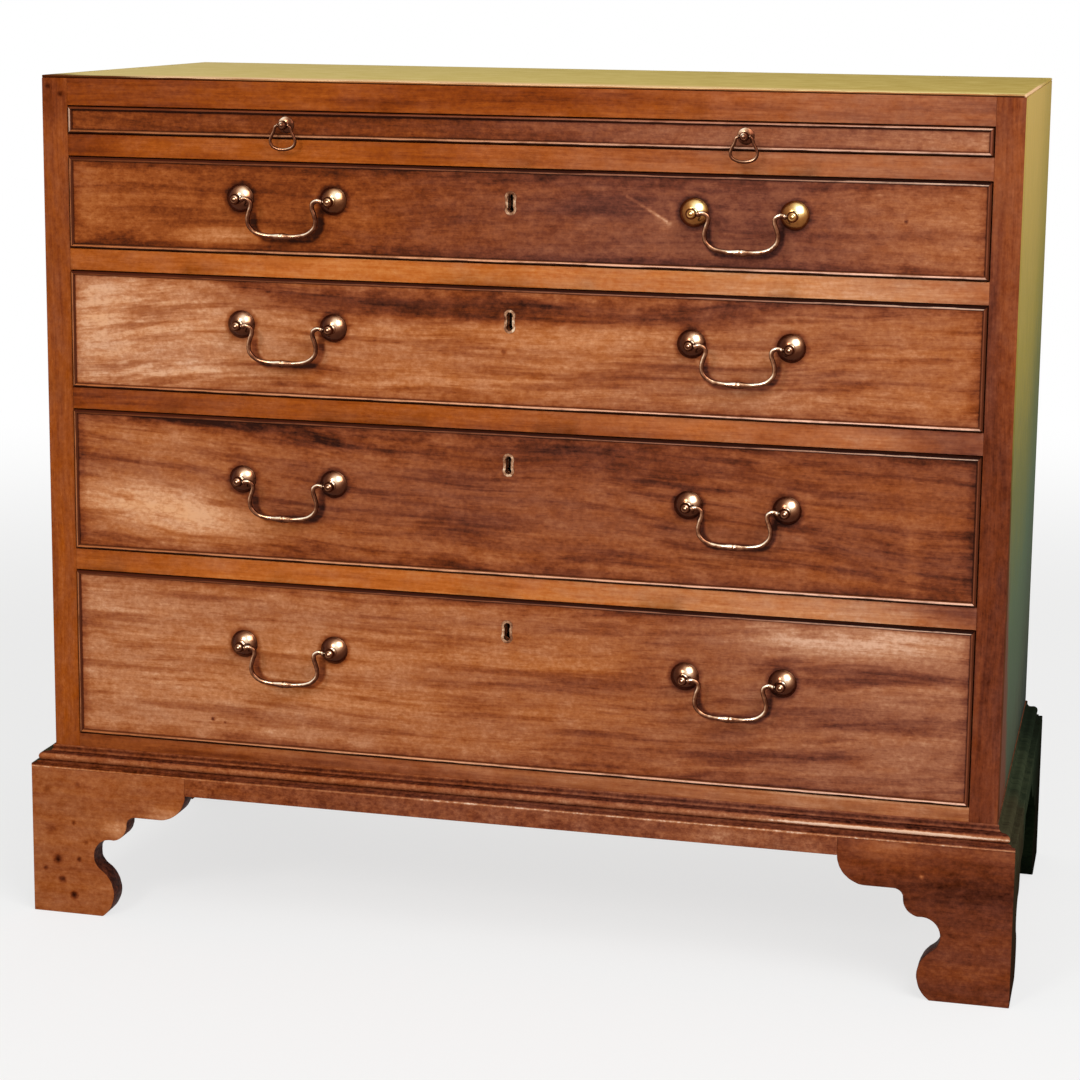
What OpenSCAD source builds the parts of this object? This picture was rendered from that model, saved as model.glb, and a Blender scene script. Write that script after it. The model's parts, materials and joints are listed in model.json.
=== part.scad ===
// Bachelor's chest with a brushing slide, four graduated cockbeaded drawers and bracket feet.
// Millimetres. +Z is up, +X runs across the chest, and the drawers open towards -Y.
// The origin is on the floor, under the middle of the whole chest with its handles.

/* [Carcase] */
// Width across the two side boards
carcase_w = 900; // [760:1:1100]
// Depth from the face of the stiles to the back
carcase_d = 416; // [390:1:520]
// Thickness of each side board
side_t = 20; // [16:0.5:23]
// Width of each front stile
stile_w = 25; // [24.5:0.5:36]
// Depth of each front stile
stile_d = 22; // [16:1:30]
// Thickness of the top board
top_t = 18; // [14:0.5:22]
// Thickness of the top board's lip, which laps over the frame
top_lip = 2.5; // [1.5:0.5:4]
// Height of the top rail under that lip
top_rail_h = 25; // [20:0.5:40]
// Height of the slide rail and of each rail between drawers
rail_h = 20; // [17:0.5:30]
// Depth of the rails from front to back
rail_d = 60; // [45:1:90]
// How far each rail is housed in the side boards
rail_housing = 6; // [3:0.5:10]
// Height of the bottom rail above the base moulding
bottom_rail_show = 13; // [8:0.5:30]
// Thickness of the bottom board
bottom_t = 18; // [14:0.5:24]
// Thickness of the back boards
back_t = 12; // [8:0.5:16]
// Width of the rebate that holds the back boards
back_rebate = 10; // [6:0.5:14]
// Number of back boards
back_count = 4; // [2:1:8]
// Shrinkage gap between neighbouring back boards
back_gap = 1; // [0.5:0.1:3]

/* [Runners] */
// Width of each drawer runner
runner_w = 40; // [30:1:60]
// Thickness of the dust boards
dust_t = 8; // [5:0.5:12]
// Depth of the grooves that hold the dust boards
dust_groove = 6; // [3:0.5:10]
// Height of the guide strips beside the drawers
guide_h = 14; // [8:0.5:20]
// Length of a drawer stop across the chest
stop_w = 40; // [20:1:60]
// Depth of a drawer stop
stop_d = 18; // [10:1:24]
// Height of a drawer stop
stop_h = 6; // [3:0.5:8]
// Distance of each drawer stop from the middle of the chest
stop_x = 230; // [100:1:320]

/* [Base] */
// Height of the feet and plinth, up to the base moulding
foot_h = 145; // [110:1:180]
// How far the feet stand out from the carcase
base_proj = 18; // [14:0.5:19.5]
// Height of the base moulding
base_mould_h = 18.5; // [16:0.5:30]
// Radius of the moulding's bead
bead_r = 4.2; // [3.6:0.1:4.5]
// Radius of the cove above the bead
cove_r = 3.2; // [2.4:0.1:3.2]
// Width of the moulding's top fillet
top_fillet_w = 2; // [1.2:0.1:2.6]
// Height of that fillet
top_fillet_h = 2.5; // [1.5:0.1:2.8]
// Width of the quirk under the bead
quirk_w = 1.2; // [0.6:0.1:1.5]
// Height of the plinth strip between the feet
plinth_h = 17; // [12:0.5:30]
// Thickness of the bracket feet and plinth strips
bracket_t = 22; // [20:0.5:28]
// Length of each bracket foot along the chest
bracket_l = 157; // [150:1:175]
// Radius of the ovolo at the end of a bracket
ovolo_r = 26; // [20:0.5:30]
// Flat between the ovolo and the cusp
cusp_flat = 25; // [20:0.5:28]
// Radius of the cusp beside that flat
cusp_r = 9; // [6:0.5:12]
// Radius of the small lobe under the cusp
lobe_r = 16; // [12:0.5:18]
// Radius of the round bite above the toe
bite_r = 17; // [14:0.5:19]
// Distance of the bite's middle from the lobe's
bite_in = 1; // [0:0.5:3]
// Radius of the toe
toe_r = 28; // [24:0.5:32]
// Height of the middle of the toe's round
toe_z = 23; // [20:0.5:24]
// Width of the sole from the corner of the foot
sole_w = 71; // [60:1:80]
// Size of the square block in the corner of each foot
corner_block = 38; // [28:1:40]
// Height of the corner blocks above the floor
block_lift = 4; // [2:0.5:12]
// Length of the glue blocks under the bottom board
glue_block_l = 70; // [40:1:80]
// Height of the glue blocks
glue_block_h = 20; // [14:0.5:24]
// Width of the back bracket's sole
back_sole_w = 62; // [60:1:90]
// Length of the back brackets at the top
back_bracket_l = 125; // [100:1:150]

/* [Slide] */
// Height of the slide's opening
slide_h = 26.5; // [24:0.5:32]
// Thickness of the slide board
slide_t = 20; // [18:0.5:22]
// Space between the back of the slide and the back boards
slide_back_space = 19; // [4:1:60]
// Width of the cleats that clamp the ends of the slide
cleat_w = 55; // [40:1:80]
// Tongue of the slide board in its cleats and front
tongue = 8; // [4:0.5:12]

/* [Drawers] */
// Height of the top drawer's opening
drawer_1_h = 86.5; // [80:0.5:110]
// Height of the second drawer's opening
drawer_2_h = 111.5; // [95:0.5:140]
// Height of the third drawer's opening
drawer_3_h = 135.5; // [110:0.5:170]
// Height of the bottom drawer's opening
drawer_4_h = 162; // [130:0.5:200]
// Space between the back of a drawer and the back boards
drawer_back_space = 12; // [4:1:60]
// Thickness of the drawer fronts
front_t = 20; // [18:0.5:24]
// Gap all round a drawer front in its opening
front_gap = 1; // [0.6:0.1:1.5]
// Running clearance under the drawers and the slide
run_gap = 0.3; // [0.2:0.05:0.6]
// Clearance between a drawer and its guide strips
guide_gap = 0.6; // [0.3:0.05:0.9]
// Thickness of the drawer sides
drawer_side_t = 10; // [8:0.5:14]
// Thickness of the drawer backs
drawer_back_t = 9; // [7:0.5:12]
// How far the drawer sides stop below the opening's top
drawer_side_drop = 8; // [4:0.5:14]
// Thickness of the drawer bottoms
drawer_bottom_t = 6; // [4:0.5:8]
// Height of a drawer bottom above the lower edge of its sides
drawer_bottom_z = 9; // [8:0.5:12]
// Depth of the grooves that hold the drawer bottoms
bottom_groove = 4; // [2.5:0.5:6]
// Wood left in front of the lapped dovetails
dovetail_lap = 6; // [4:0.5:8]
// Spacing of the dovetails
dovetail_pitch = 26; // [22:1:40]
// Width of a pin at its narrow end
pin_w = 5; // [3:0.5:8]
// Slope of the dovetails
dovetail_angle = 10; // [7:0.5:14]
// Clearance of glued and housed joints
joint_gap = 0.1; // [0.05:0.05:0.3]
// Thickness of a cockbead
bead_t = 3.5; // [2.5:0.25:5]
// How far a cockbead stands proud of the front
bead_proud = 2.2; // [1.5:0.1:3.5]

/* [Handles] */
// Distance of each handle from the middle of the chest
handle_x = 211; // [150:1:270]
// Distance between the two posts of a handle
post_spacing = 89; // [80:1:110]
// Height of the top drawer's handles below its opening's top
handle_1_drop = 34.5; // [28:0.5:40]
// Height of the second drawer's handles below its opening's top
handle_2_drop = 44.5; // [30:0.5:56]
// Height of the third drawer's handles below its opening's top
handle_3_drop = 58.5; // [30:0.5:68]
// Height of the bottom drawer's handles below its opening's top
handle_4_drop = 61; // [30:0.5:80]
// Radius of a handle rosette
rosette_r = 13; // [11:0.25:15]
// Height of a handle rosette's dome
rosette_h = 8; // [4:0.25:9]
// Thickness of a rosette's rim
rosette_rim = 1.2; // [0.8:0.1:2]
// Radius of a post's neck
neck_r = 3; // [2.6:0.1:3.5]
// Radius of a post's ball
ball_r = 5; // [4.5:0.1:5.3]
// Distance of the bail's pivot from the drawer front
eye_out = 15; // [14.5:0.25:18]
// Radius of the bail's pins
pin_r = 1.6; // [1.3:0.05:1.8]
// Radial clearance of a pin in its post
pin_gap = 0.05; // [0.03:0.01:0.09]
// Length of a pin beyond the middle of its post
pin_past = 2.4; // [1.5:0.1:3]
// Radius of the bail's wire
bail_r = 2.1; // [1.8:0.05:2.3]
// Extra radius of the swelling in the middle of the bail
bail_swell = 0.7; // [0:0.05:1]
// Half length of that swelling
swell_l = 15; // [10:0.5:20]
// Gap between the bail's shoulder and the ball of its post
bail_gap = 0.4; // [0.3:0.05:0.6]
// Radius of a post's threaded shank
shank_r = 2; // [1.6:0.1:2.2]
// Clearance of the shank in the drawer front
shank_gap = 0.3; // [0.1:0.05:0.5]
// Width of the square nuts
nut_w = 9; // [8:0.5:12]
// Thickness of the square nuts
nut_t = 3; // [2:0.25:4]

/* [Ring pulls] */
// Radius of a ring pull's rosette
ring_rosette_r = 7.6; // [6.5:0.1:8.5]
// Height of that rosette's dome
ring_rosette_h = 3; // [2:0.25:4]
// Radius of a ring pull's neck
ring_neck_r = 2.2; // [2:0.1:2.5]
// Radius of a ring pull's ball
ring_ball_r = 4.5; // [4:0.1:4.8]
// Distance of a ring's pivot from the slide's face
ring_eye_out = 10; // [9:0.25:13]
// Radius of the ring's wire
ring_r = 1.4; // [1.2:0.05:1.5]
// Radius of the ring's pin through its ball
ring_pin_r = 1.1; // [0.9:0.05:1.15]
// Wood left between a ring pull's screw and the slide board's tongue
screw_wood = 1; // [0.5:0.5:2]

/* [Locks] */
// Depth of the keyhole's middle below the opening's top
key_drop = 31.5; // [30:0.5:36]
// Radius of the two round ends of the keyhole
key_r = 3; // [2.6:0.1:3.2]
// Half width of the keyhole's waist
key_waist = 2.4; // [2.1:0.1:2.6]
// Distance from the keyhole's middle to each round end's centre
key_lobe = 5.4; // [4.5:0.1:6]
// Thickness of the brass thread round the keyhole
thread_t = 2.3; // [1.2:0.1:2.6]
// Depth of that thread in the drawer front
thread_d = 4; // [2:0.25:5]
// How far the thread stands proud of the front
thread_proud = 0.3; // [0.1:0.1:0.6]
// Width of the lock
lock_w = 64; // [56:1:76]
// Height of the lock
lock_h = 46; // [44:1:52]
// Depth of the lock
lock_d = 11; // [10.5:0.5:12]
// Wall of the lock's case
lock_wall = 1.6; // [1:0.1:2]
// Width of the bolt
bolt_w = 26; // [18:1:30]
// Thickness of the bolt
bolt_t = 6; // [4:0.25:7]
// Height of the bolt
bolt_h = 18; // [14:0.5:20]
// Travel of the bolt
bolt_travel = 8; // [5:0.5:9]
// Clearance of the bolt in its case
bolt_gap = 0.2; // [0.1:0.05:0.4]
// Radius of the pin that the key turns on
key_pin_r = 1.2; // [0.8:0.1:1.6]
// Length of that pin inside the case
key_pin_l = 6.2; // [4:0.1:6.4]

/* [Hidden] */

$fn = 48;
// Cutters run this far past the faces that they cut
cut = 1;

// Colours
mahogany = [0.58, 0.30, 0.15];
frame_wood = [0.69, 0.38, 0.18];
oak = [0.72, 0.55, 0.34];
brass = [0.72, 0.55, 0.28];
steel = [0.45, 0.43, 0.40];

// Widths across the chest
opening_w = carcase_w - 2 * stile_w;
inner_w = carcase_w - 2 * side_t;
drawer_w = opening_w - 2 * front_gap;

// Levels above the floor; drawer 1 is the top one
drawer_h = [drawer_1_h, drawer_2_h, drawer_3_h, drawer_4_h];
handle_drop = [handle_1_drop, handle_2_drop, handle_3_drop, handle_4_drop];
bottom_rail_top = foot_h + base_mould_h + bottom_rail_show;
function drawer_z(n) = n == 4 ? bottom_rail_top : drawer_z(n + 1) + drawer_h[n] + rail_h;
function drawer_top(n) = drawer_z(n) + drawer_h[n - 1];
slide_z = drawer_top(1) + rail_h;
top_rail_z = slide_z + slide_h;
frame_top = top_rail_z + top_rail_h;
total_h = frame_top + top_lip;

// The drawers and the slide stop short of the back boards
drawer_l = carcase_d - back_t - drawer_back_space;
slide_l = carcase_d - back_t - slide_back_space;

// The chest's face lies here once the whole is centred with its handles
reach = max(base_proj, eye_out + ball_r, ring_eye_out + ring_ball_r);
face_y = -(carcase_d - reach) / 2;

// The cockbeads' rebate stops just short of the dovetails
bead_d = dovetail_lap - joint_gap;
// The ring pulls' screws stop short of the slide board's tongue
ring_screw_l = front_t - tongue - screw_wood;

// Drawer box
side_low = run_gap;
bottom_low = side_low + drawer_bottom_z;
function side_height(n) = drawer_h[n - 1] - drawer_side_drop - side_low;
function tail_count(n) = max(2, floor(side_height(n) / dovetail_pitch));
function back_height(n) = side_height(n) - drawer_bottom_z - drawer_bottom_t;

// Points of an arc, from angle a to angle b
function arc(x, y, r, a, b, steps = 8) =
  [for (i = [0 : steps]) [x + r * cos(a + (b - a) * i / steps), y + r * sin(a + (b - a) * i / steps)]];

// Everything is modelled with the chest's face at y = 0 and is then moved into place
module placed() {
  translate([0, face_y, 0]) children();
}

// A board between two corners
module board(low, high) {
  translate(low) cube(high - low);
}

module both_sides() {
  children();
  mirror([1, 0, 0]) children();
}

// ---- Carcase ----

module rail_tongues(z, gap) {
  half = inner_w / 2 + rail_housing;
  board([-half - gap, stile_d, z - gap], [half + gap, rail_d + gap, z + rail_h + gap]);
}

module side_board() {
  color(mahogany) difference() {
    board([inner_w / 2, stile_d, foot_h], [carcase_w / 2, carcase_d, frame_top]);
    board([inner_w / 2 - cut, carcase_d - back_t, foot_h - cut],
          [inner_w / 2 + back_rebate, carcase_d + cut, frame_top + cut]);
    for (n = [1 : 4]) rail_tongues(drawer_top(n), joint_gap);
  }
}

module side_left() {
  placed() mirror([1, 0, 0]) side_board();
}

module side_right() {
  placed() side_board();
}

module front_stiles() {
  placed() color(frame_wood) both_sides()
    board([opening_w / 2, 0, foot_h], [carcase_w / 2, stile_d, frame_top]);
}

module top_board() {
  placed() color(mahogany) union() {
    board([-carcase_w / 2, 0, frame_top], [carcase_w / 2, carcase_d, total_h]);
    board([-inner_w / 2, stile_d, total_h - top_t],
          [inner_w / 2, carcase_d - back_t, frame_top + top_lip / 2]);
  }
}

module top_rail() {
  placed() color(frame_wood)
    board([-opening_w / 2, 0, top_rail_z], [opening_w / 2, stile_d, frame_top]);
}

// A rail with its housed ends, the mortise for the bolt below it and a groove for its dust board
module rail(z) {
  difference() {
    union() {
      board([-opening_w / 2, 0, z], [opening_w / 2, rail_d, z + rail_h]);
      rail_tongues(z, 0);
    }
    board([-bolt_w / 2 - cut, bolt_y - bolt_t / 2 - cut, z - cut],
          [bolt_w / 2 + cut, bolt_y + bolt_t / 2 + cut, z + bolt_travel + cut]);
    board([-inner_w / 2, rail_d - dust_groove, dust_z(z) - joint_gap],
          [inner_w / 2, rail_d + cut, dust_z(z) + dust_t + joint_gap]);
  }
}

function dust_z(z) = z + (rail_h - dust_t) / 2;

// The rail under the slide and the three between the drawers are alike
module drawer_rails() {
  placed() color(frame_wood) for (n = [1 : 4]) rail(drawer_top(n));
}

module bottom_rail() {
  placed() color(frame_wood)
    board([-opening_w / 2, 0, foot_h], [opening_w / 2, stile_d, bottom_rail_top]);
}

// Space between the runners, across the chest
bay_w = inner_w - 2 * runner_w;
runner_end = carcase_d - back_t;

module dust_boards() {
  half = bay_w / 2 + dust_groove - joint_gap;
  placed() color(oak) for (n = [1 : 4])
    board([-half, rail_d - dust_groove + joint_gap, dust_z(drawer_top(n))],
          [half, runner_end, dust_z(drawer_top(n)) + dust_t]);
}

module runner(z, grooved) {
  difference() {
    board([bay_w / 2, rail_d, z], [inner_w / 2, runner_end, z + rail_h]);
    if (grooved)
      board([bay_w / 2 - cut, rail_d - cut, dust_z(z) - joint_gap],
            [bay_w / 2 + dust_groove, runner_end + cut, dust_z(z) + dust_t + joint_gap]);
  }
}

// Strip on a runner that guides a drawer; it bears on the side board
module guide(z, h) {
  board([drawer_w / 2 + guide_gap, rail_d, z + joint_gap], [inner_w / 2, runner_end, z + h]);
}

slide_top = slide_z + run_gap + slide_t;

module drawer_runners() {
  placed() color(oak) both_sides() {
    for (n = [1 : 4]) runner(drawer_top(n), true);
    for (n = [1 : 4]) guide(drawer_z(n), guide_h);
    guide(slide_z, slide_t / 2);
    // Bearers of the bottom drawer, on the bottom board
    board([bay_w / 2, stile_d, foot_h + bottom_t], [inner_w / 2, runner_end, bottom_rail_top]);
    // Kickers above the slide, under the top board
    board([bay_w / 2, stile_d, slide_top + 2 * run_gap], [inner_w / 2, runner_end, total_h - top_t]);
  }
}

module drawer_stops() {
  near = front_t + run_gap;
  left = stop_x - stop_w / 2;
  right = stop_x + stop_w / 2;
  placed() color(oak) both_sides() {
    for (n = [1 : 4])
      board([left, near, drawer_z(n)], [right, near + stop_d, drawer_z(n) + stop_h]);
    // The bottom drawer's stops are built up from the bottom board, behind the bottom rail
    board([left, max(near, stile_d), foot_h + bottom_t], [right, near + stop_d, bottom_rail_top]);
  }
}

module bottom_board() {
  placed() color(oak) board([-inner_w / 2, stile_d, foot_h], [inner_w / 2, runner_end, foot_h + bottom_t]);
}

module back_boards() {
  pitch = (frame_top - foot_h + back_gap) / back_count;
  half = inner_w / 2 + back_rebate;
  placed() color(oak) for (i = [0 : back_count - 1])
    board([-half, runner_end, foot_h + i * pitch], [half, carcase_d, foot_h + (i + 1) * pitch - back_gap]);
}

// ---- Base ----

// Softened edge of the fillets
arris = 0.6;
// Height from the top of the bead to the top of the moulding
cove_h = 5.4;
// Steps of the section, measured back from the face of the feet
fillet_back = 1.5;
quirk_back = 4;
bead_back = 9.5;

// Section of the base moulding: lower fillet, quirk, bead, cove and top fillet.
// x is the distance from the carcase and y the height above the feet.
function mould_section() = let (
  quirk_z = base_mould_h - cove_h - 2 * bead_r - quirk_w,
  fillet_x = base_proj - fillet_back,
  quirk_x = base_proj - quirk_back
) concat(
  [[0, 0], [fillet_x, 0], [fillet_x, quirk_z - arris], [fillet_x - arris, quirk_z]],
  [[quirk_x, quirk_z], [quirk_x, quirk_z + quirk_w]],
  arc(base_proj - bead_back, quirk_z + quirk_w + bead_r, bead_r, -70, 100),
  arc(top_fillet_w + cove_r, base_mould_h - top_fillet_h, cove_r, 270, 180, 4),
  [[top_fillet_w, base_mould_h - arris], [top_fillet_w - arris, base_mould_h], [0, base_mould_h]]
);

// Prism that keeps only what lies on the front side of the mitre at the right-hand corner
module mitre(reach_x) {
  far = carcase_w;
  linear_extrude(total_h) polygon([[0, 0], [0, -far], [reach_x + far, -far], [reach_x, 0]]);
}

module moulding_front_run() {
  half = carcase_w / 2 + base_proj;
  translate([-half, 0, foot_h]) rotate([90, 0, 90]) linear_extrude(2 * half) mirror([1, 0])
    polygon(mould_section());
}

module moulding_side_run() {
  translate([carcase_w / 2, carcase_d, foot_h]) rotate([90, 0, 0])
    linear_extrude(carcase_d + base_proj) polygon(mould_section());
}

module base_moulding() {
  placed() color(mahogany) {
    intersection() {
      moulding_front_run();
      both_sides() mitre(carcase_w / 2);
    }
    both_sides() difference() {
      moulding_side_run();
      translate([0, joint_gap, 0]) mitre(carcase_w / 2);
    }
  }
}

module plinth_strips() {
  low = foot_h - plinth_h;
  face = carcase_w / 2 + base_proj;
  placed() color(mahogany) {
    board([bracket_l - face, -base_proj, low], [face - bracket_l, bracket_t - base_proj, foot_h]);
    both_sides() board([face - bracket_t, bracket_l - base_proj, low], [face, carcase_d - bracket_l, foot_h]);
  }
}

// Bracket seen from the front: x runs from the foot's corner towards the middle, y is the height.
// Ovolo, cusp, lobe, round bite and toe follow one another from the strip to the floor.
cusp_x = bracket_l - ovolo_r - cusp_flat;
lobe_x = cusp_x - cusp_r - lobe_r;
bite_x = lobe_x - bite_in;
toe_x = sole_w - sqrt(pow(toe_r, 2) - pow(toe_z, 2));
under = foot_h - plinth_h;
cusp_z = under - ovolo_r - cusp_r;
// The bite's centre is as far above the toe's as makes the two round stretches meet smoothly
bite_z = toe_z + sqrt(pow(bite_r + toe_r, 2) - pow(bite_x - toe_x, 2));
meet_angle = atan2(bite_z - toe_z, bite_x - toe_x);

function bracket_outline() = concat(
  [[0, 0], [0, foot_h], [bracket_l, foot_h]],
  arc(bracket_l - ovolo_r, under, ovolo_r, 0, -90),
  arc(cusp_x, cusp_z, cusp_r, 90, 180, 5),
  arc(lobe_x, cusp_z, lobe_r, 0, -80, 5),
  arc(bite_x, bite_z, bite_r, 90, 180 + meet_angle, 9),
  arc(toe_x, toe_z, toe_r, meet_angle, -asin(toe_z / toe_r), 9)
);

// Right-hand foot whose corner is at the origin: the brackets run to -X and to +Y
module bracket_x() {
  translate([0, bracket_t, 0]) rotate([90, 0, 0]) linear_extrude(bracket_t) mirror([1, 0])
    polygon(bracket_outline());
}

module bracket_y() {
  rotate([90, 0, 90]) translate([0, 0, -bracket_t]) linear_extrude(bracket_t) polygon(bracket_outline());
}

// Everything on the X bracket's side of the mitre
module foot_mitre() {
  far = 2 * bracket_l;
  translate([0, 0, -cut]) linear_extrude(foot_h + 2 * cut)
    polygon([[cut, -cut], [-far, -cut], [-far, far]]);
}

module foot_blocks() {
  near = bracket_t + joint_gap;
  far = near + corner_block + joint_gap;
  board([-near - corner_block, near, block_lift], [-near, near + corner_block, foot_h]);
  board([-far - glue_block_l, near, foot_h - glue_block_h], [-far, near + glue_block_h, foot_h]);
  board([-near - glue_block_h, far, foot_h - glue_block_h], [-near, far + glue_block_l, foot_h]);
}

module front_foot() {
  translate([carcase_w / 2 + base_proj, -base_proj, 0]) {
    color(mahogany) intersection() {
      bracket_x();
      foot_mitre();
    }
    color(mahogany) difference() {
      bracket_y();
      translate([0, joint_gap, 0]) foot_mitre();
    }
    color(oak) foot_blocks();
  }
}

module back_foot() {
  translate([carcase_w / 2 + base_proj, carcase_d, 0]) mirror([0, 1, 0]) {
    color(mahogany) bracket_y();
    color(oak) translate([-bracket_t - joint_gap, 0, 0]) rotate([90, 0, 0]) translate([0, 0, -bracket_t])
      linear_extrude(bracket_t) mirror([1, 0])
        polygon([[0, 0], [0, foot_h], [back_bracket_l, foot_h], [back_bracket_l, under],
                 [back_sole_w, under / 3], [back_sole_w, 0]]);
    color(oak) foot_blocks();
  }
}

module foot_front_left() {
  placed() mirror([1, 0, 0]) front_foot();
}

module foot_front_right() {
  placed() front_foot();
}

module foot_back_left() {
  placed() mirror([1, 0, 0]) back_foot();
}

module foot_back_right() {
  placed() back_foot();
}

// ---- Cockbeads ----

// One strip along X, its outer edge at z = 0, with mitred ends and a round nose
module bead_strip(length) {
  nose = bead_t / 2;
  section = concat([[bead_d, 0], [nose - bead_proud, 0]],
                   arc(nose - bead_proud, nose, nose, -90, -270, 6), [[bead_d, bead_t]]);
  intersection() {
    translate([-length / 2, 0, 0]) rotate([90, 0, 90]) linear_extrude(length) polygon(section);
    translate([0, bead_d + cut, 0]) rotate([90, 0, 0]) linear_extrude(bead_d + bead_proud + 2 * cut)
      polygon([[joint_gap - length / 2, 0], [length / 2 - joint_gap, 0],
               [length / 2 - joint_gap - bead_t, bead_t], [bead_t + joint_gap - length / 2, bead_t]]);
  }
}

// Four strips round a front of width w whose lower edge is at z
module cockbead(w, z, h) {
  translate([0, 0, z]) bead_strip(w);
  translate([0, 0, z + h]) rotate([0, 180, 0]) bead_strip(w);
  both_sides() translate([w / 2, 0, z + h / 2]) rotate([0, -90, 0]) bead_strip(h);
}

// Front with a rebate all round for its cockbead
module beaded_front(w, z, h, t) {
  union() {
    board([bead_t - w / 2, 0, z + bead_t], [w / 2 - bead_t, t / 2 + bead_d / 2, z + h - bead_t]);
    board([-w / 2, bead_d, z], [w / 2, t, z + h]);
  }
}

// ---- Brushing slide ----

slide_front_h = slide_h - 2 * front_gap;
slide_low = slide_z + run_gap;
slide_mid = slide_z + slide_h / 2;

module slide_tongue(gap) {
  w = drawer_w / 2 - cleat_w + tongue;
  board([-w - gap, front_t - tongue - gap, slide_low + slide_t / 3 - gap],
        [w + gap, slide_l, slide_low + slide_t * 2 / 3 + gap]);
}

module slide_board() {
  w = drawer_w / 2;
  placed() color(mahogany) {
    union() {
      board([cleat_w + joint_gap - w, front_t, slide_low],
            [w - cleat_w - joint_gap, slide_l, slide_low + slide_t]);
      slide_tongue(0);
    }
    both_sides() difference() {
      board([w - cleat_w, front_t, slide_low], [w, slide_l, slide_low + slide_t]);
      slide_tongue(joint_gap);
    }
  }
}

module slide_front() {
  placed() color(mahogany) difference() {
    beaded_front(drawer_w, slide_z + front_gap, slide_front_h, front_t);
    slide_tongue(joint_gap);
    both_sides() translate([handle_x, -cut, slide_mid]) rotate([-90, 0, 0])
      cylinder(r = shank_r + joint_gap, h = ring_screw_l + joint_gap + cut);
  }
}

module slide_cockbead() {
  placed() color(mahogany) cockbead(drawer_w, slide_z + front_gap, slide_front_h);
}

// ---- Brassware ----

// Domed rosette with a hole for its post, standing out to -Y
module rosette(r, h, hole) {
  dome = (pow(r - rosette_rim, 2) + pow(h - rosette_rim, 2)) / (2 * (h - rosette_rim));
  rotate([90, 0, 0]) difference() {
    rotate_extrude() intersection() {
      union() {
        square([r, rosette_rim]);
        translate([0, h - dome]) circle(r = dome);
      }
      square([r, h]);
    }
    translate([0, 0, -cut]) cylinder(r = hole, h = h + 2 * cut);
  }
}

module handle_post() {
  rosette(rosette_r, rosette_h, neck_r + joint_gap);
  difference() {
    rotate([90, 0, 0]) {
      cylinder(r = neck_r, h = eye_out - ball_r / 2);
      translate([0, 0, eye_out]) sphere(r = ball_r);
      translate([0, 0, -front_t - 2 * nut_t]) cylinder(r = shank_r, h = front_t + 2 * nut_t + cut);
    }
    // Bore for the bail's pin, open towards the handle's middle
    translate([-pin_past - joint_gap, -eye_out, 0]) rotate([0, 90, 0])
      cylinder(r = pin_r + pin_gap, h = ball_r + pin_past + cut);
  }
  // Square nut behind the drawer front
  difference() {
    translate([-nut_w / 2, front_t, -nut_w / 2]) cube([nut_w, nut_t, nut_w]);
    translate([0, front_t - cut, 0]) rotate([-90, 0, 0]) cylinder(r = shank_r + pin_gap, h = nut_t + 2 * cut);
  }
}

module handle_posts(n) {
  z = drawer_top(n) - handle_drop[n - 1];
  placed() color(brass) both_sides() for (side = [0, 1])
    translate([handle_x, 0, z]) mirror([side, 0, 0]) translate([-post_spacing / 2, 0, 0]) handle_post();
}

// Route of half a swan-neck bail, from its shoulder beside the post to the middle of the grip.
// x is the distance from the post's centre and y the height from the pivot.
bail_route = [
  [10.5, 0.8], [14.6, -1.6], [15.2, -6], [13.2, -12], [12, -18], [13.6, -24.4], [20, -29.8], [30, -32.2]
];
bail_drop = 32.8;
// Route of half a ring, from its shoulder beside the ball to the bottom of the ring
ring_route = [[7.4, -2], [9, -6.6], [11.4, -11.4], [12.6, -16], [10.8, -20.6], [6, -23.4]];
ring_drop = 24.2;
// Rings of the wire's surface between two points of its route
wire_steps = 3;

// Smooth curve through a list of points
function curve(p, steps) = [
  for (i = [0 : len(p) - 2], s = [0 : steps - 1]) let (
    t = s / steps,
    a = p[max(i - 1, 0)],
    b = p[i],
    c = p[i + 1],
    d = p[min(i + 2, len(p) - 1)]
  ) 0.5 * (2 * b + (c - a) * t + (2 * a - 5 * b + 4 * c - d) * t * t + (3 * b - a - 3 * c + d) * t * t * t)
];

// Whole route of a handle: its half, then the same half mirrored about x = middle
function whole_route(half, middle, drop) = concat(
  half, [[middle, -drop]], [for (i = [len(half) - 1 : -1 : 0]) [2 * middle - half[i][0], half[i][1]]]
);

// Round wire along a route in the XZ plane; it leaves and arrives along X, in the direction way
module wire(path, radii, way, sides = 8) {
  last = len(path) - 1;
  points = [
    for (i = [0 : last]) let (
      along = i == 0 || i == last ? [way, 0] : path[i + 1] - path[i - 1],
      dir = along / norm(along)
    ) for (k = [0 : sides - 1]) let (a = 360 * k / sides)
      [path[i][0] - dir[1] * radii[i] * cos(a), radii[i] * sin(a), path[i][1] + dir[0] * radii[i] * cos(a)]
  ];
  faces = concat(
    [[for (k = [sides - 1 : -1 : 0]) k]],
    [for (i = [0 : last - 1], k = [0 : sides - 1]) let (m = (k + 1) % sides)
      [i * sides + k, i * sides + m, (i + 1) * sides + m, (i + 1) * sides + k]],
    [[for (k = [0 : sides - 1]) last * sides + k]]
  );
  polyhedron(points, faces, convexity = 6);
}

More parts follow.
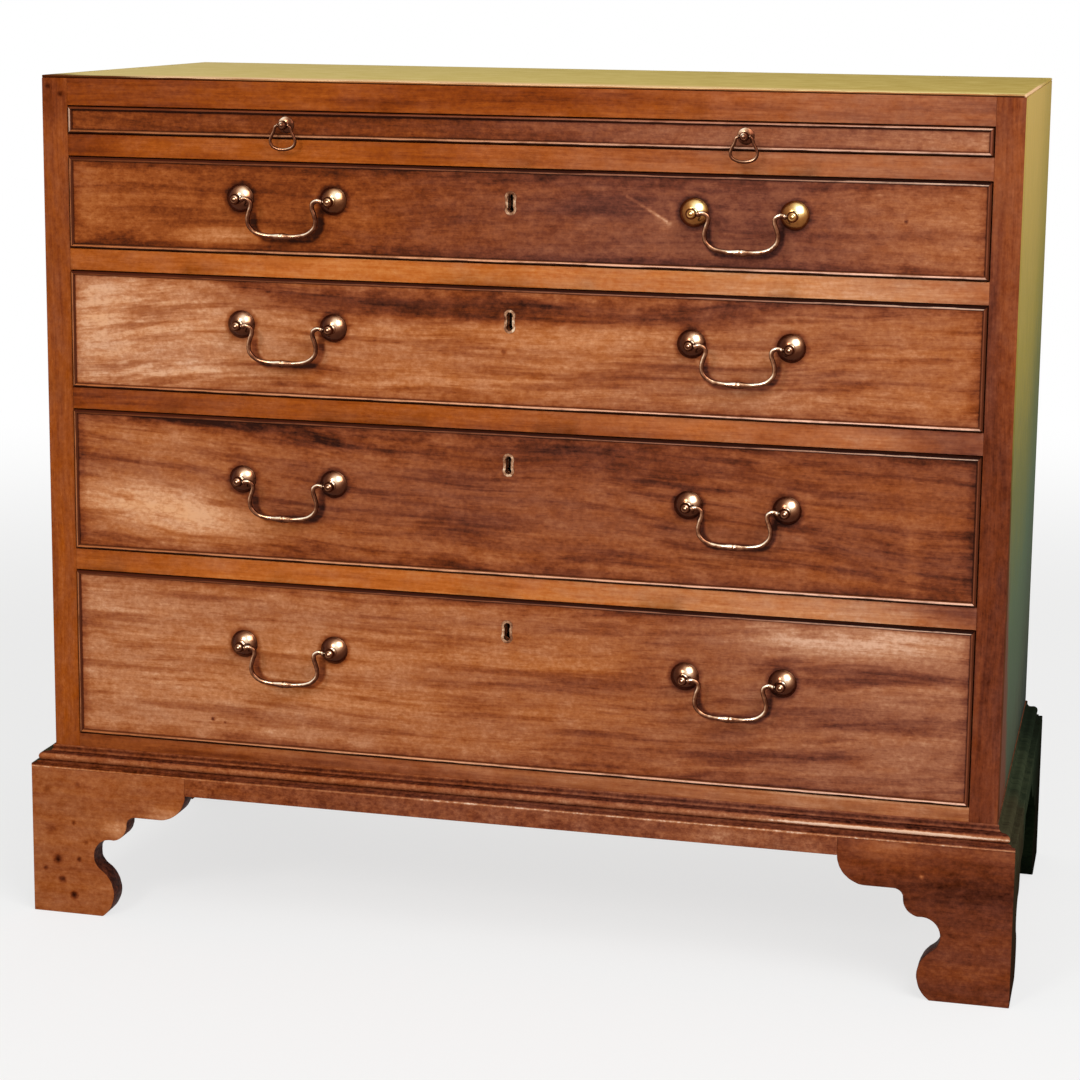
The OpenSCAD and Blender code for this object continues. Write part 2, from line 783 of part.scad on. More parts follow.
// Bail about its pivot line, its left-hand post at x = 0
module bail() {
  middle = post_spacing / 2;
  shoulder = ball_r + bail_gap;
  route = whole_route(concat([[shoulder, 0]], bail_route), middle, bail_drop);
  path = concat(curve(route, wire_steps), [route[len(route) - 1]]);
  radii = [for (p = path) bail_r + bail_swell * max(0, 1 - pow(abs(p[0] - middle) / swell_l, 2))
    * (p[1] < -bail_drop / 2 ? 1 : 0)];
  union() {
    wire(path, radii, 1);
    translate([-pin_past, 0, 0]) rotate([0, 90, 0]) cylinder(r = pin_r, h = shoulder + pin_past + cut);
    translate([2 * middle - shoulder - cut, 0, 0]) rotate([0, 90, 0])
      cylinder(r = pin_r, h = shoulder + pin_past + cut);
  }
}

module hung_bail(n, side) {
  z = drawer_top(n) - handle_drop[n - 1];
  placed() color(brass) translate([side * handle_x - post_spacing / 2, -eye_out, z]) bail();
}

module ring_post() {
  rosette(ring_rosette_r, ring_rosette_h, ring_neck_r + joint_gap);
  difference() {
    rotate([90, 0, 0]) {
      cylinder(r = ring_neck_r, h = ring_eye_out - ring_ball_r / 2);
      translate([0, 0, ring_eye_out]) sphere(r = ring_ball_r);
      translate([0, 0, -ring_screw_l]) cylinder(r = shank_r, h = ring_screw_l + cut);
    }
    translate([-ring_ball_r - cut, -ring_eye_out, 0]) rotate([0, 90, 0])
      cylinder(r = ring_pin_r + pin_gap, h = 2 * (ring_ball_r + cut));
  }
}

module ring_posts() {
  placed() color(brass) both_sides() translate([handle_x, 0, slide_mid]) ring_post();
}

module ring(side) {
  shoulder = ring_ball_r + bail_gap;
  half = concat([[-shoulder, 0]], [for (p = ring_route) [-p[0], p[1]]]);
  route = whole_route(half, 0, ring_drop);
  path = concat(curve(route, wire_steps), [route[len(route) - 1]]);
  placed() color(brass) translate([side * handle_x, -ring_eye_out, slide_mid]) union() {
    wire(path, [for (p = path) ring_r], -1);
    translate([-shoulder - ring_r / 2, 0, 0]) rotate([0, 90, 0])
      cylinder(r = ring_pin_r, h = 2 * shoulder + ring_r);
  }
}

module ring_left() {
  ring(-1);
}

module ring_right() {
  ring(1);
}

// ---- Drawers ----

// Dovetails on the end of a drawer side: y and z outline, from the root to the wide end
module tails(root, tip, low, height, count, grow) {
  pitch = height / count;
  flare = abs(tip - root) * tan(dovetail_angle);
  way = sign(tip - root);
  for (i = [0 : count - 1]) {
    wide_low = low + i * pitch + pin_w / 2 - grow;
    wide_high = low + (i + 1) * pitch - pin_w / 2 + grow;
    polygon([[root - way * grow, wide_low + flare], [tip + way * grow, wide_low],
             [tip + way * grow, wide_high], [root - way * grow, wide_high - flare]]);
  }
}

module front_tails(n, grow) {
  tails(front_t, dovetail_lap, side_low, side_height(n), tail_count(n), grow);
}

module back_tails(n, grow) {
  tails(drawer_l - drawer_back_t, drawer_l, back_low, back_height(n), tail_count(n), grow);
}

back_low = bottom_low + drawer_bottom_t;

// Turns a y and z outline into a board of thickness t that starts at x
module upright(x, t) {
  translate([x, 0, 0]) rotate([90, 0, 90]) linear_extrude(t) children();
}

module drawer_bottom_space(n, grow) {
  half = drawer_w / 2 - drawer_side_t + bottom_groove;
  z = drawer_z(n) + bottom_low;
  board([-half - grow, front_t - bottom_groove - grow, z - grow],
        [half + grow, drawer_l, z + drawer_bottom_t + grow]);
}

module drawer_front(n) {
  h = drawer_h[n - 1] - 2 * front_gap;
  z = drawer_z(n) + front_gap;
  placed() color(mahogany) difference() {
    beaded_front(drawer_w, z, h, front_t);
    // Sockets of the lapped dovetails
    both_sides() translate([0, 0, drawer_z(n)])
      upright(drawer_w / 2 - drawer_side_t - joint_gap, drawer_side_t + cut) front_tails(n, joint_gap);
    drawer_bottom_space(n, joint_gap);
    // Holes for the handle posts
    for (side = [-1, 1], post = [-1, 1])
      translate([side * handle_x + post * post_spacing / 2, -cut, drawer_top(n) - handle_drop[n - 1]])
        rotate([-90, 0, 0]) cylinder(r = shank_r + shank_gap, h = front_t + 2 * cut);
    lock_space(n, joint_gap);
    translate([0, 0, drawer_top(n) - key_drop]) {
      keyhole(0, -cut, front_t);
      keyhole(thread_t + joint_gap, -cut, thread_d + joint_gap);
    }
  }
}

module drawer_box(n) {
  side_z = drawer_z(n);
  placed() color(oak) {
    both_sides() difference() {
      translate([0, 0, side_z]) upright(drawer_w / 2 - drawer_side_t, drawer_side_t) difference() {
        union() {
          translate([front_t, side_low]) square([drawer_l - front_t, side_height(n)]);
          front_tails(n, 0);
        }
        difference() {
          translate([drawer_l - drawer_back_t, back_low]) square([drawer_back_t + cut, back_height(n)]);
          back_tails(n, 0);
        }
      }
      drawer_bottom_space(n, joint_gap);
      board([0, drawer_l - cut, side_z + bottom_low - joint_gap],
            [drawer_w / 2 - drawer_side_t + bottom_groove + joint_gap, drawer_l + cut,
             side_z + bottom_low + drawer_bottom_t + joint_gap]);
    }
    difference() {
      board([-drawer_w / 2, drawer_l - drawer_back_t + joint_gap, side_z + back_low + joint_gap],
            [drawer_w / 2, drawer_l, side_z + back_low + back_height(n) - joint_gap]);
      both_sides() translate([0, 0, side_z])
        upright(drawer_w / 2 - drawer_side_t - joint_gap, drawer_side_t + cut) back_tails(n, joint_gap);
    }
  }
}

module drawer_bottom(n) {
  placed() color(oak) drawer_bottom_space(n, 0);
}

module drawer_cockbead(n) {
  placed() color(mahogany) cockbead(drawer_w, drawer_z(n) + front_gap, drawer_h[n - 1] - 2 * front_gap);
}

// ---- Locks ----

lock_y = front_t - lock_d;
bolt_y = front_t - lock_d / 2;

// Keyhole widened by grow, from one depth to another
module keyhole(grow, from, to) {
  translate([0, to, 0]) rotate([90, 0, 0]) {
    for (end = [-1, 1]) translate([0, end * key_lobe, 0]) cylinder(r = key_r + grow, h = to - from);
    translate([-key_waist - grow, -key_lobe, 0]) cube([2 * (key_waist + grow), 2 * key_lobe, to - from]);
  }
}

module lock_space(n, grow) {
  top = drawer_top(n) - front_gap;
  board([-lock_w / 2 - grow, lock_y - grow, top - lock_h - grow],
        [lock_w / 2 + grow, front_t + grow, top + grow]);
}

module drawer_lock(n) {
  top = drawer_top(n) - front_gap;
  placed() color(brass) {
    difference() {
      lock_space(n, 0);
      // Hollow of the case
      board([lock_wall - lock_w / 2, lock_y + lock_wall, top - lock_h + lock_wall],
            [lock_w / 2 - lock_wall, front_t - lock_wall, top - lock_wall]);
      // Slot for the bolt
      board([-bolt_w / 2 - bolt_gap, bolt_y - bolt_t / 2 - bolt_gap, top - 2 * lock_wall],
            [bolt_w / 2 + bolt_gap, bolt_y + bolt_t / 2 + bolt_gap, top + cut]);
      translate([0, 0, drawer_top(n) - key_drop]) keyhole(0, lock_y - cut, lock_y + lock_wall + cut);
    }
    // Pin that the key turns on, standing on the back of the case
    translate([0, front_t - lock_wall / 2, drawer_top(n) - key_drop + key_lobe]) rotate([90, 0, 0])
      cylinder(r = key_pin_r, h = lock_wall / 2 + key_pin_l);
    // Brass thread let into the drawer front
    translate([0, 0, drawer_top(n) - key_drop]) difference() {
      keyhole(thread_t, -thread_proud, thread_d);
      keyhole(0, -thread_proud - cut, thread_d + cut);
    }
  }
}

module drawer_bolt(n) {
  top = drawer_top(n) - front_gap;
  placed() color(steel)
    board([-bolt_w / 2, bolt_y - bolt_t / 2, top - bolt_h], [bolt_w / 2, bolt_y + bolt_t / 2, top]);
}

// ---- Nodes ----

side_left();
side_right();
front_stiles();
top_board();
top_rail();
drawer_rails();
bottom_rail();
dust_boards();
drawer_runners();
drawer_stops();
bottom_board();
back_boards();
base_moulding();
plinth_strips();
foot_front_left();
foot_front_right();
foot_back_left();
foot_back_right();
slide_board();
slide_front();
slide_cockbead();
ring_posts();
ring_left();
ring_right();
drawer_front(1);  // drawer_1_front
drawer_box(1);  // drawer_1_box
drawer_bottom(1);  // drawer_1_bottom
drawer_cockbead(1);  // drawer_1_cockbead
handle_posts(1);  // drawer_1_posts
drawer_lock(1);  // drawer_1_lock
drawer_bolt(1);  // drawer_1_bolt
hung_bail(1, -1);  // drawer_1_bail_left
hung_bail(1, 1);  // drawer_1_bail_right
drawer_front(2);  // drawer_2_front
drawer_box(2);  // drawer_2_box
drawer_bottom(2);  // drawer_2_bottom
drawer_cockbead(2);  // drawer_2_cockbead
handle_posts(2);  // drawer_2_posts
drawer_lock(2);  // drawer_2_lock
drawer_bolt(2);  // drawer_2_bolt
hung_bail(2, -1);  // drawer_2_bail_left
hung_bail(2, 1);  // drawer_2_bail_right
drawer_front(3);  // drawer_3_front
drawer_box(3);  // drawer_3_box
drawer_bottom(3);  // drawer_3_bottom
drawer_cockbead(3);  // drawer_3_cockbead
handle_posts(3);  // drawer_3_posts
drawer_lock(3);  // drawer_3_lock
drawer_bolt(3);  // drawer_3_bolt
hung_bail(3, -1);  // drawer_3_bail_left
hung_bail(3, 1);  // drawer_3_bail_right
drawer_front(4);  // drawer_4_front
drawer_box(4);  // drawer_4_box
drawer_bottom(4);  // drawer_4_bottom
drawer_cockbead(4);  // drawer_4_cockbead
handle_posts(4);  // drawer_4_posts
drawer_lock(4);  // drawer_4_lock
drawer_bolt(4);  // drawer_4_bolt
hung_bail(4, -1);  // drawer_4_bail_left
hung_bail(4, 1);  // drawer_4_bail_right
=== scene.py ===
import json
import math

import bmesh
import bpy
from mathutils import Matrix, Vector, noise


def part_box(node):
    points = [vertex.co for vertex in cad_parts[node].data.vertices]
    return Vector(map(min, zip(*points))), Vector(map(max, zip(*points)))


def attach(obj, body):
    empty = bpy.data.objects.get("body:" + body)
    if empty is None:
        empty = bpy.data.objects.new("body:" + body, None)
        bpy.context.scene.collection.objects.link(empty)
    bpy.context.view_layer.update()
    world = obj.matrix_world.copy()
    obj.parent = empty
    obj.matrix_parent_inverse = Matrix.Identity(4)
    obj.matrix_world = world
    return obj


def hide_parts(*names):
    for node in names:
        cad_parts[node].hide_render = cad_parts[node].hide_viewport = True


# Bachelor's chest in old mahogany: worn boards, moulding and bracket feet, cockbeaded drawers and
# swan-neck brasses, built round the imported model. Metres, +X to the right, -Y to the front, +Z up.

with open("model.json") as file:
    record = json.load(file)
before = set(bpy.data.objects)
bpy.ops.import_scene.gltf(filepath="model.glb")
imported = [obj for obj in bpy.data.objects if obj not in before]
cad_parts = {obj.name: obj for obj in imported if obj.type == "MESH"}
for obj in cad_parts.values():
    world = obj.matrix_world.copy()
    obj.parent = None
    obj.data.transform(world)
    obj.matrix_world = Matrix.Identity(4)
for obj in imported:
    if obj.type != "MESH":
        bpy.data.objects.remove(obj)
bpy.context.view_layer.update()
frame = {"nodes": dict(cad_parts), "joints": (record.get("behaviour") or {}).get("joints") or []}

# ---- Sizes and places, from the frame ----

MM = 0.001
stile_low, stile_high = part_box("front_stiles")
mould_low, mould_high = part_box("base_moulding")
plinth_low, plinth_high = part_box("plinth_strips")
top_low, top_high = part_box("top_board")
back_low, back_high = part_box("back_boards")

FACE = stile_low.y
BACK = back_high.y
HALF_W = stile_high.x
OPENING_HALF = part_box("top_rail")[1].x
STILE_D = stile_high.y - stile_low.y
FRAME_TOP = stile_high.z
TOP_Z = top_high.z
FOOT_H = stile_low.z
MOULD_H = mould_high.z - mould_low.z
PROJECTION = plinth_high.x - HALF_W
UNDER = plinth_low.z
plinth_points = [v.co for v in frame["nodes"]["plinth_strips"].data.vertices]
BRACKET_L = HALF_W + PROJECTION - max(p.x for p in plinth_points if p.y < FACE - PROJECTION / 2)
BACK_INNER = back_low.y
PIVOTS = {j["child"]: Vector(j["pos_m"]) for j in frame["joints"] if j["type"] == "hinge"}
JOINT_GAP = 0.1 * MM
DRAWERS = (1, 2, 3, 4)
SIDES = ("left", "right")

# Cockbeads: width, how far they stand proud, and depth
BEAD_T = 3.5 * MM
BEAD_PROUD = 2.2 * MM
BEAD_D = 5.9 * MM

# Underside of the slide's front
SLIDE_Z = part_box("slide_front")[0].z

# Softened edges
ARRIS = 0.6 * MM
CRISP = 0.35 * MM

# Rosettes of the swan-neck handles, half the distance of their posts, and the width of the dark ring round
# them: dirt and painted contact shade
ROSETTE_R = 13.0 * MM
POST_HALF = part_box("drawer_1_posts")[1].x - PIVOTS["drawer_1_bail_right"].x - ROSETTE_R
DIRT_AND_SHADE_W = 5.0 * MM

# Painted shadow of a swan-neck bail on its drawer: half width, how low it hangs, radius of its corners,
# half widths of its core and of all of it, and how far below the posts it starts and is whole
BAIL_SHADOW_HALF = POST_HALF - 12 * MM
BAIL_SHADOW_DROP = 36.0 * MM
BAIL_SHADOW_R = 15.0 * MM
BAIL_SHADOW_FROM, BAIL_SHADOW_TO = 1.6 * MM, 5.0 * MM
BAIL_SHADOW_START, BAIL_SHADOW_WHOLE = 4 * MM, 18 * MM

# ---- Finishes ----


def srgb(red, green, blue):
    """A colour as it looks on a screen, 0 to 255, in the linear numbers that shaders take."""
    shares = [c / 255 for c in (red, green, blue)]
    return (*[((s + 0.055) / 1.055) ** 2.4 if s > 0.04 else s / 12.92 for s in shares], 1.0)


class Value:
    """What a node gives at each point of a surface; sums, products and so on add a node for each step."""

    def __init__(self, finish, socket):
        self.finish = finish
        self.socket = socket

    def __add__(self, other):
        return self.finish.math("ADD", self, other)

    def __sub__(self, other):
        return self.finish.math("SUBTRACT", self, other)

    def __rsub__(self, other):
        return self.finish.math("SUBTRACT", other, self)

    def __mul__(self, other):
        return self.finish.math("MULTIPLY", self, other)

    def __truediv__(self, other):
        return self.finish.math("DIVIDE", self, other)

    def __neg__(self):
        return self * -1.0

    def __abs__(self):
        return self.finish.math("ABSOLUTE", self)

    __radd__ = __add__


class Finish:
    """One material. Each method that adds a node returns the value that it gives."""

    def __init__(self, name):
        self.material = bpy.data.materials.new(name)
        self.material.use_nodes = True
        self.nodes = self.material.node_tree.nodes
        self.links = self.material.node_tree.links
        self.shader = self.nodes["Principled BSDF"]
        coordinates = self.nodes.new("ShaderNodeTexCoord")
        self.place = Value(self, coordinates.outputs["Object"])
        self.facing = Value(self, coordinates.outputs["Normal"])
        self.x, self.y, self.z = self.split(self.place)

    def put(self, socket, value):
        value = getattr(value, "socket", value)
        if isinstance(value, bpy.types.NodeSocket):
            self.links.new(value, socket)
        else:
            socket.default_value = value

    def set(self, **values):
        """Sets the shader's sockets: base_color is Base Color, and so on."""
        for key, value in values.items():
            self.put(self.shader.inputs[key.replace("_", " ").title().replace("Ior", "IOR")], value)

    def node(self, kind, inputs, output=0, **settings):
        """Adds a node with these settings; inputs are in order, or by place or name in a dictionary."""
        made = self.nodes.new("ShaderNode" + kind)
        for key, value in settings.items():
            setattr(made, key, value)
        for key, value in inputs.items() if isinstance(inputs, dict) else enumerate(inputs):
            self.put(made.inputs[key], value)
        return Value(self, made.outputs[output])

    def math(self, operation, a, b=0.0):
        return self.node("Math", (a, b), operation=operation)

    def above_zero(self, value):
        return self.math("MAXIMUM", value, 0.0)

    def clamped(self, value):
        """The value, held between 0 and 1."""
        return self.math("MINIMUM", self.above_zero(value), 1.0)

    def least(self, *values):
        result = values[0]
        for value in values[1:]:
            result = self.math("MINIMUM", result, value)
        return result

    def vector(self, operation, a, b=(0.0, 0.0, 0.0)):
        output = "Value" if operation in ("LENGTH", "DISTANCE", "DOT_PRODUCT") else "Vector"
        return self.node("VectorMath", (a, b), output, operation=operation)

    def split(self, vector):
        outputs = self.node("SeparateXYZ", (vector,)).socket.node.outputs
        return [Value(self, socket) for socket in outputs]

    def join(self, x, y, z):
        return self.node("CombineXYZ", (x, y, z))

    def across_chest(self):
        """0 at the left side of the chest and 1 at the right."""
        return self.x / (2 * HALF_W) + 0.5

    def sideways(self):
        """How far the surface faces left or right, from 0 to 1."""
        return abs(self.split(self.facing)[0])

    def remap(self, value, low, high, to_low=0.0, to_high=1.0):
        """A smooth step from to_low at low to to_high at high."""
        return self.node("MapRange", (value, low, high, to_low, to_high), interpolation_type="SMOOTHSTEP")

    def noise(self, vector, scale=1.0, detail=3.0, roughness=0.55):
        """Noise about 0, from about -0.5 to 0.5."""
        inputs = {"Vector": vector, "Scale": scale, "Detail": detail, "Roughness": roughness}
        return self.node("TexNoise", inputs, "Fac") - 0.5

    def to_segment(self, point, start, end):
        """Distance from a point to a straight piece of line."""
        start, end = Vector(start), Vector(end)
        way = end - start
        along = self.vector("DOT_PRODUCT", self.vector("SUBTRACT", point, start), way / way.length_squared)
        along = self.clamped(along)
        nearest = self.vector("ADD", start, self.vector("MULTIPLY", self.join(along, along, along), way))
        return self.vector("DISTANCE", point, nearest)

    def ramp(self, value, stops):
        """Colours or levels along a value; a stop is (position, (red, green, blue)) or (position, level)."""
        result = self.node("ValToRGB", (value,), "Color")
        elements = result.socket.node.color_ramp.elements
        while len(elements) < len(stops):
            elements.new(0.5)
        while len(elements) > len(stops):
            elements.remove(elements[-1])
        for element, (position, look) in zip(elements, stops):
            element.position = position
            element.color = srgb(*look) if isinstance(look, tuple) else (look, look, look, 1.0)
        return result

    def curve(self, value, points):
        """Levels from -1 to 1 along a value; a ramp holds none below 0, so they go in halved and raised."""
        return self.ramp(value, [(position, (level + 1) / 2) for position, level in points]) * 2.0 - 1.0

    def mix(self, share, a, b):
        return self.node("Mix", {0: share, 6: a, 7: b}, 2, data_type="RGBA")

    def bump(self, height, depth):
        self.put(self.shader.inputs["Normal"], self.node("Bump", {"Height": height, "Distance": depth}))


# Mahogany from its darkest streaks to its palest tones, which also carry painted highlights: warm, towards
# purple, and the orange of the frame
WARM = [
    (44, 14, 2), (84, 34, 7), (118, 52, 15), (148, 74, 28), (172, 98, 48), (198, 128, 80), (226, 166, 118)]
COOL = [
    (46, 20, 15), (82, 42, 32), (110, 58, 42), (136, 78, 54), (160, 100, 70), (186, 130, 96), (216, 168, 138)]
ORANGE = [
    (52, 16, 0), (92, 34, 2), (130, 56, 8), (158, 76, 16), (184, 98, 36), (202, 124, 62), (222, 154, 98)]
DRY_OAK = [(58, 40, 24), (92, 66, 40), (124, 92, 58), (150, 114, 74), (172, 136, 92), (190, 156, 112)]
OLD_PINE = [(46, 34, 24), (72, 54, 38), (96, 74, 52), (118, 94, 68), (138, 114, 84)]
# Near-black green: painted shade for the cut edges of the rear feet
NEAR_BLACK_GREEN = [(4, 7, 3), (12, 18, 9), (20, 27, 15), (34, 42, 26)]

# Painted reflection on the outer sides, olive gold above and green and dark below, by height as a share of
# the whole, and the red low in front
SIDE_TONES = [
    (0.00, (22, 20, 14)), (0.14, (36, 44, 32)), (0.22, (64, 70, 50)), (0.30, (72, 84, 62)),
    (0.42, (84, 98, 70)), (0.56, (112, 112, 62)), (0.70, (156, 140, 66)), (0.86, (188, 160, 84)),
    (0.98, (208, 174, 96))]
SIDE_RED = srgb(102, 56, 36)

# The top's straw tones by wear, a painted reflection, its pink front edge, soiled corner, end and right
# arris, and its lip over the glue line
TOP_TONES = [(0.0, (174, 146, 68)), (0.4, (214, 191, 114)), (0.65, (230, 207, 138)), (1.0, (255, 222, 174))]
TOP_PINK = srgb(250, 196, 150)
TOP_SOIL = srgb(92, 40, 12)
TOP_END = srgb(206, 172, 94)
TOP_ARRIS = srgb(252, 206, 158)
LIP_LEFT, LIP_RIGHT = srgb(80, 36, 14), srgb(168, 112, 66)
GLUE_LINE = srgb(56, 22, 8)

# Layers of grain: how fine each is per metre, along the grain and across it, its detail and its roughness
WANDER = (2.2, 5.0, 2.0, 0.55)
STREAKS = (2.4, 30.0, 3.0, 0.6)
VEINS = (6.0, 105.0, 3.0, 0.55)
LINES = (16.0, 300.0, 4.0, 0.65)
MOTTLE = (42.0, 80.0, 4.0, 0.65)
FLECKS = (210.0, 260.0, 2.0, 0.7)
PORES = (90.0, 1100.0, 1.0, 0.55)
GRAIN_DEPTH = 0.1 * MM
ANY_DEPTH = 1e3


def spaced(colours):
    """Ramp stops at even distances."""
    return [(i / (len(colours) - 1), colour) for i, colour in enumerate(colours)]


def gathered_tone(layers, shares):
    """Weighs the layers of a grain and adds them up: a tone about 0."""
    weighed = [layer * (share * 2) for layer, share in zip(layers, shares)]
    return sum(weighed[1:], weighed[0])


def wood(name, palette, grain="X", level=0.5, zones=None, heights=None, second=None, second_zones=None,
         slope=0.0, bend=14, shares=(0.2, 0.2, 0.16, 0.14, 0.12, 0.06), patches=(), spots=(), scratches=(),
         edges=None, brasses=None, outside=None, gloss=0.45, shine=0.06, seed=0.0):
    """Polished wood whose grain runs along one axis.

    A tone from 0 to 1 is gathered from zones across the chest, heights, six layers of grain (streaks, veins,
    lines, mottle, flecks, pores: shares weighs them) and patches, and picks the colour from the palette. The
    second palette shows by second_zones. Lengths are in millimetres: heights are (z, amount), patches are
    (x, z, half width, half height, amount), spots are (x, z, radius, amount), scratches are (x, z, to x,
    to z, half width, amount), edges is (box, reach, amount) of the darkening along the edges, with a line of
    painted shade in the crease beside the beads, and brasses is (x, half the distance of a handle's posts,
    z), round which a dark ring of dirt and painted contact shade, and the painted shadow of the bail, are
    drawn."""
    f = Finish(name)
    along = "XYZ".index(grain)
    across_mask = [0.0 if k == along else 1.0 for k in range(3)]

    def at(x, z):
        return x * MM, 0.0, z * MM

    def layer(vector, along_grain, across_grain, detail, roughness):
        scale = [along_grain if k == along else across_grain for k in range(3)]
        moved = f.vector("ADD", f.vector("MULTIPLY", vector, scale), (seed, seed * 1.7, -seed))
        return f.noise(moved, detail=detail, roughness=roughness)

    shift = layer(f.place, *WANDER) * (bend * MM * 4) + (f.x, f.y, f.z)[along] * slope
    bent = f.vector("ADD", f.place, f.vector("MULTIPLY", f.join(shift, shift, shift), across_mask))
    streaks = layer(bent, *STREAKS)
    veins = f.remap(layer(bent, *VEINS), -0.2, 0.04) - 1.0
    lines = layer(bent, *LINES)
    mottle = layer(bent, *MOTTLE)
    flecks = layer(f.place, *FLECKS)
    pores = f.remap(layer(f.place, *PORES), 0.08, 0.22)
    tone = gathered_tone((streaks, veins, lines, mottle, flecks, -pores), shares) + shares[1] * 0.8
    tone = tone + (f.curve(f.across_chest(), zones) if zones else level)
    if heights:
        lowest, highest = heights[0][0], heights[-1][0]
        up = (f.z - lowest * MM) / ((highest - lowest) * MM)
        tone = tone + f.curve(up, [((z - lowest) / (highest - lowest), step) for z, step in heights])
    for x, z, half_w, half_h, amount in patches:
        away = f.vector("SUBTRACT", bent, at(x, z))
        away = f.vector("LENGTH", f.vector("DIVIDE", away, (half_w * MM, ANY_DEPTH, half_h * MM)))
        tone = tone + f.remap(away + streaks * 0.8 + mottle * 0.6, 0.2, 1.2, amount, 0.0)
    ragged = f.noise(f.place, 300.0) * (3 * MM)
    flat_place = f.vector("MULTIPLY", f.place, (1.0, 0.0, 1.0))
    for x, z, radius, amount in spots:
        away = f.vector("DISTANCE", flat_place, at(x, z)) + ragged
        tone = tone + f.remap(away, 0.0, radius * MM, amount, 0.0)
    for x, z, to_x, to_z, half_w, amount in scratches:
        away = f.to_segment(flat_place, at(x, z), at(to_x, to_z)) + ragged
        tone = tone + f.remap(away, 0.0, half_w * MM, amount, 0.0)
    if edges:
        (low, high), reach, amount = edges
        inside = f.least(f.x - low.x, high.x - f.x, f.z - low.z, high.z - f.z)
        # Painted shade: a dark line on the front in the crease beside the cockbeads.
        crease_shade = f.remap(inside, BEAD_T, BEAD_T + 1.2 * MM, -0.25, 0.0)
        tone = tone + crease_shade + f.remap(inside + mottle * (reach * MM), 0.0, reach * MM, -amount, 0.0)
    if brasses:
        x, half, z = [length * MM for length in brasses]
        aside = abs(abs(f.x) - x)
        away = f.vector("LENGTH", f.join(aside - half, 0.0, f.z - z)) + ragged
        # A dark ring round each rosette: dirt and painted contact shade.
        tone = tone + f.remap(away, ROSETTE_R, ROSETTE_R + DIRT_AND_SHADE_W, -0.26, 0.0)
        # The painted shadow of the bail: a dark band that follows its curve below the posts.
        corner_x = f.above_zero(aside - (BAIL_SHADOW_HALF - BAIL_SHADOW_R))
        corner_z = f.above_zero((z - BAIL_SHADOW_DROP + BAIL_SHADOW_R) - f.z)
        away = f.vector("LENGTH", f.join(corner_x, 0.0, corner_z)) - BAIL_SHADOW_R
        bail_shadow = f.remap(abs(away), BAIL_SHADOW_FROM, BAIL_SHADOW_TO, -0.4, 0.0)
        tone = tone + bail_shadow * f.remap(f.z, z - BAIL_SHADOW_WHOLE, z - BAIL_SHADOW_START, 1.0, 0.0)
    colour = f.ramp(tone, spaced(palette))
    if second:
        share = f.curve(f.across_chest(), second_zones) + streaks * -1.2 + mottle
        colour = f.mix(f.clamped(share), colour, f.ramp(tone, spaced(second)))
    if outside:
        colour = outside(f, colour, lines, mottle)
    f.set(base_color=colour, specular_ior_level=shine)
    f.set(roughness=gloss + mottle * 0.16 + lines * -0.12)
    f.bump(lines + pores * -0.6 + flecks * 0.6, GRAIN_DEPTH)
    return f.material


def sides_with_painted_reflection(f, colour, lines, mottle, reddened=0.95):
    """The outer sides carry a painted reflection of green surroundings: olive gold near the top, green and
    dark near the floor.
    """
    depth = f.y - FACE
    beyond = abs(f.x) - HALF_W
    outside = f.remap(beyond + depth, 0.2 * MM, 1.0 * MM)
    outward = f.math("MAXIMUM", f.remap(f.sideways(), 0.3, 0.6), f.remap(beyond, 0.3 * MM, 1.2 * MM))
    share = outside * outward * f.remap(beyond, -4 * MM, -1.5 * MM)
    height = f.z / TOP_Z
    streaked = height + mottle * 0.16 + lines * 0.16
    side = f.ramp(streaked + f.remap(depth, 0.2, 0.42, 0.0, -0.11), SIDE_TONES)
    slant = depth + height * 0.25 + mottle * 0.05 + lines * 0.04
    low_front = f.remap(slant, 0.135, 0.172, reddened, 0.0)
    return f.mix(share, colour, f.mix(low_front, side, SIDE_RED))


def base_sides_with_painted_reflection(f, colour, lines, mottle):
    """The base's sides carry the same painted reflection, dark green up to its corners."""
    return sides_with_painted_reflection(f, colour, lines, mottle, reddened=0.15)


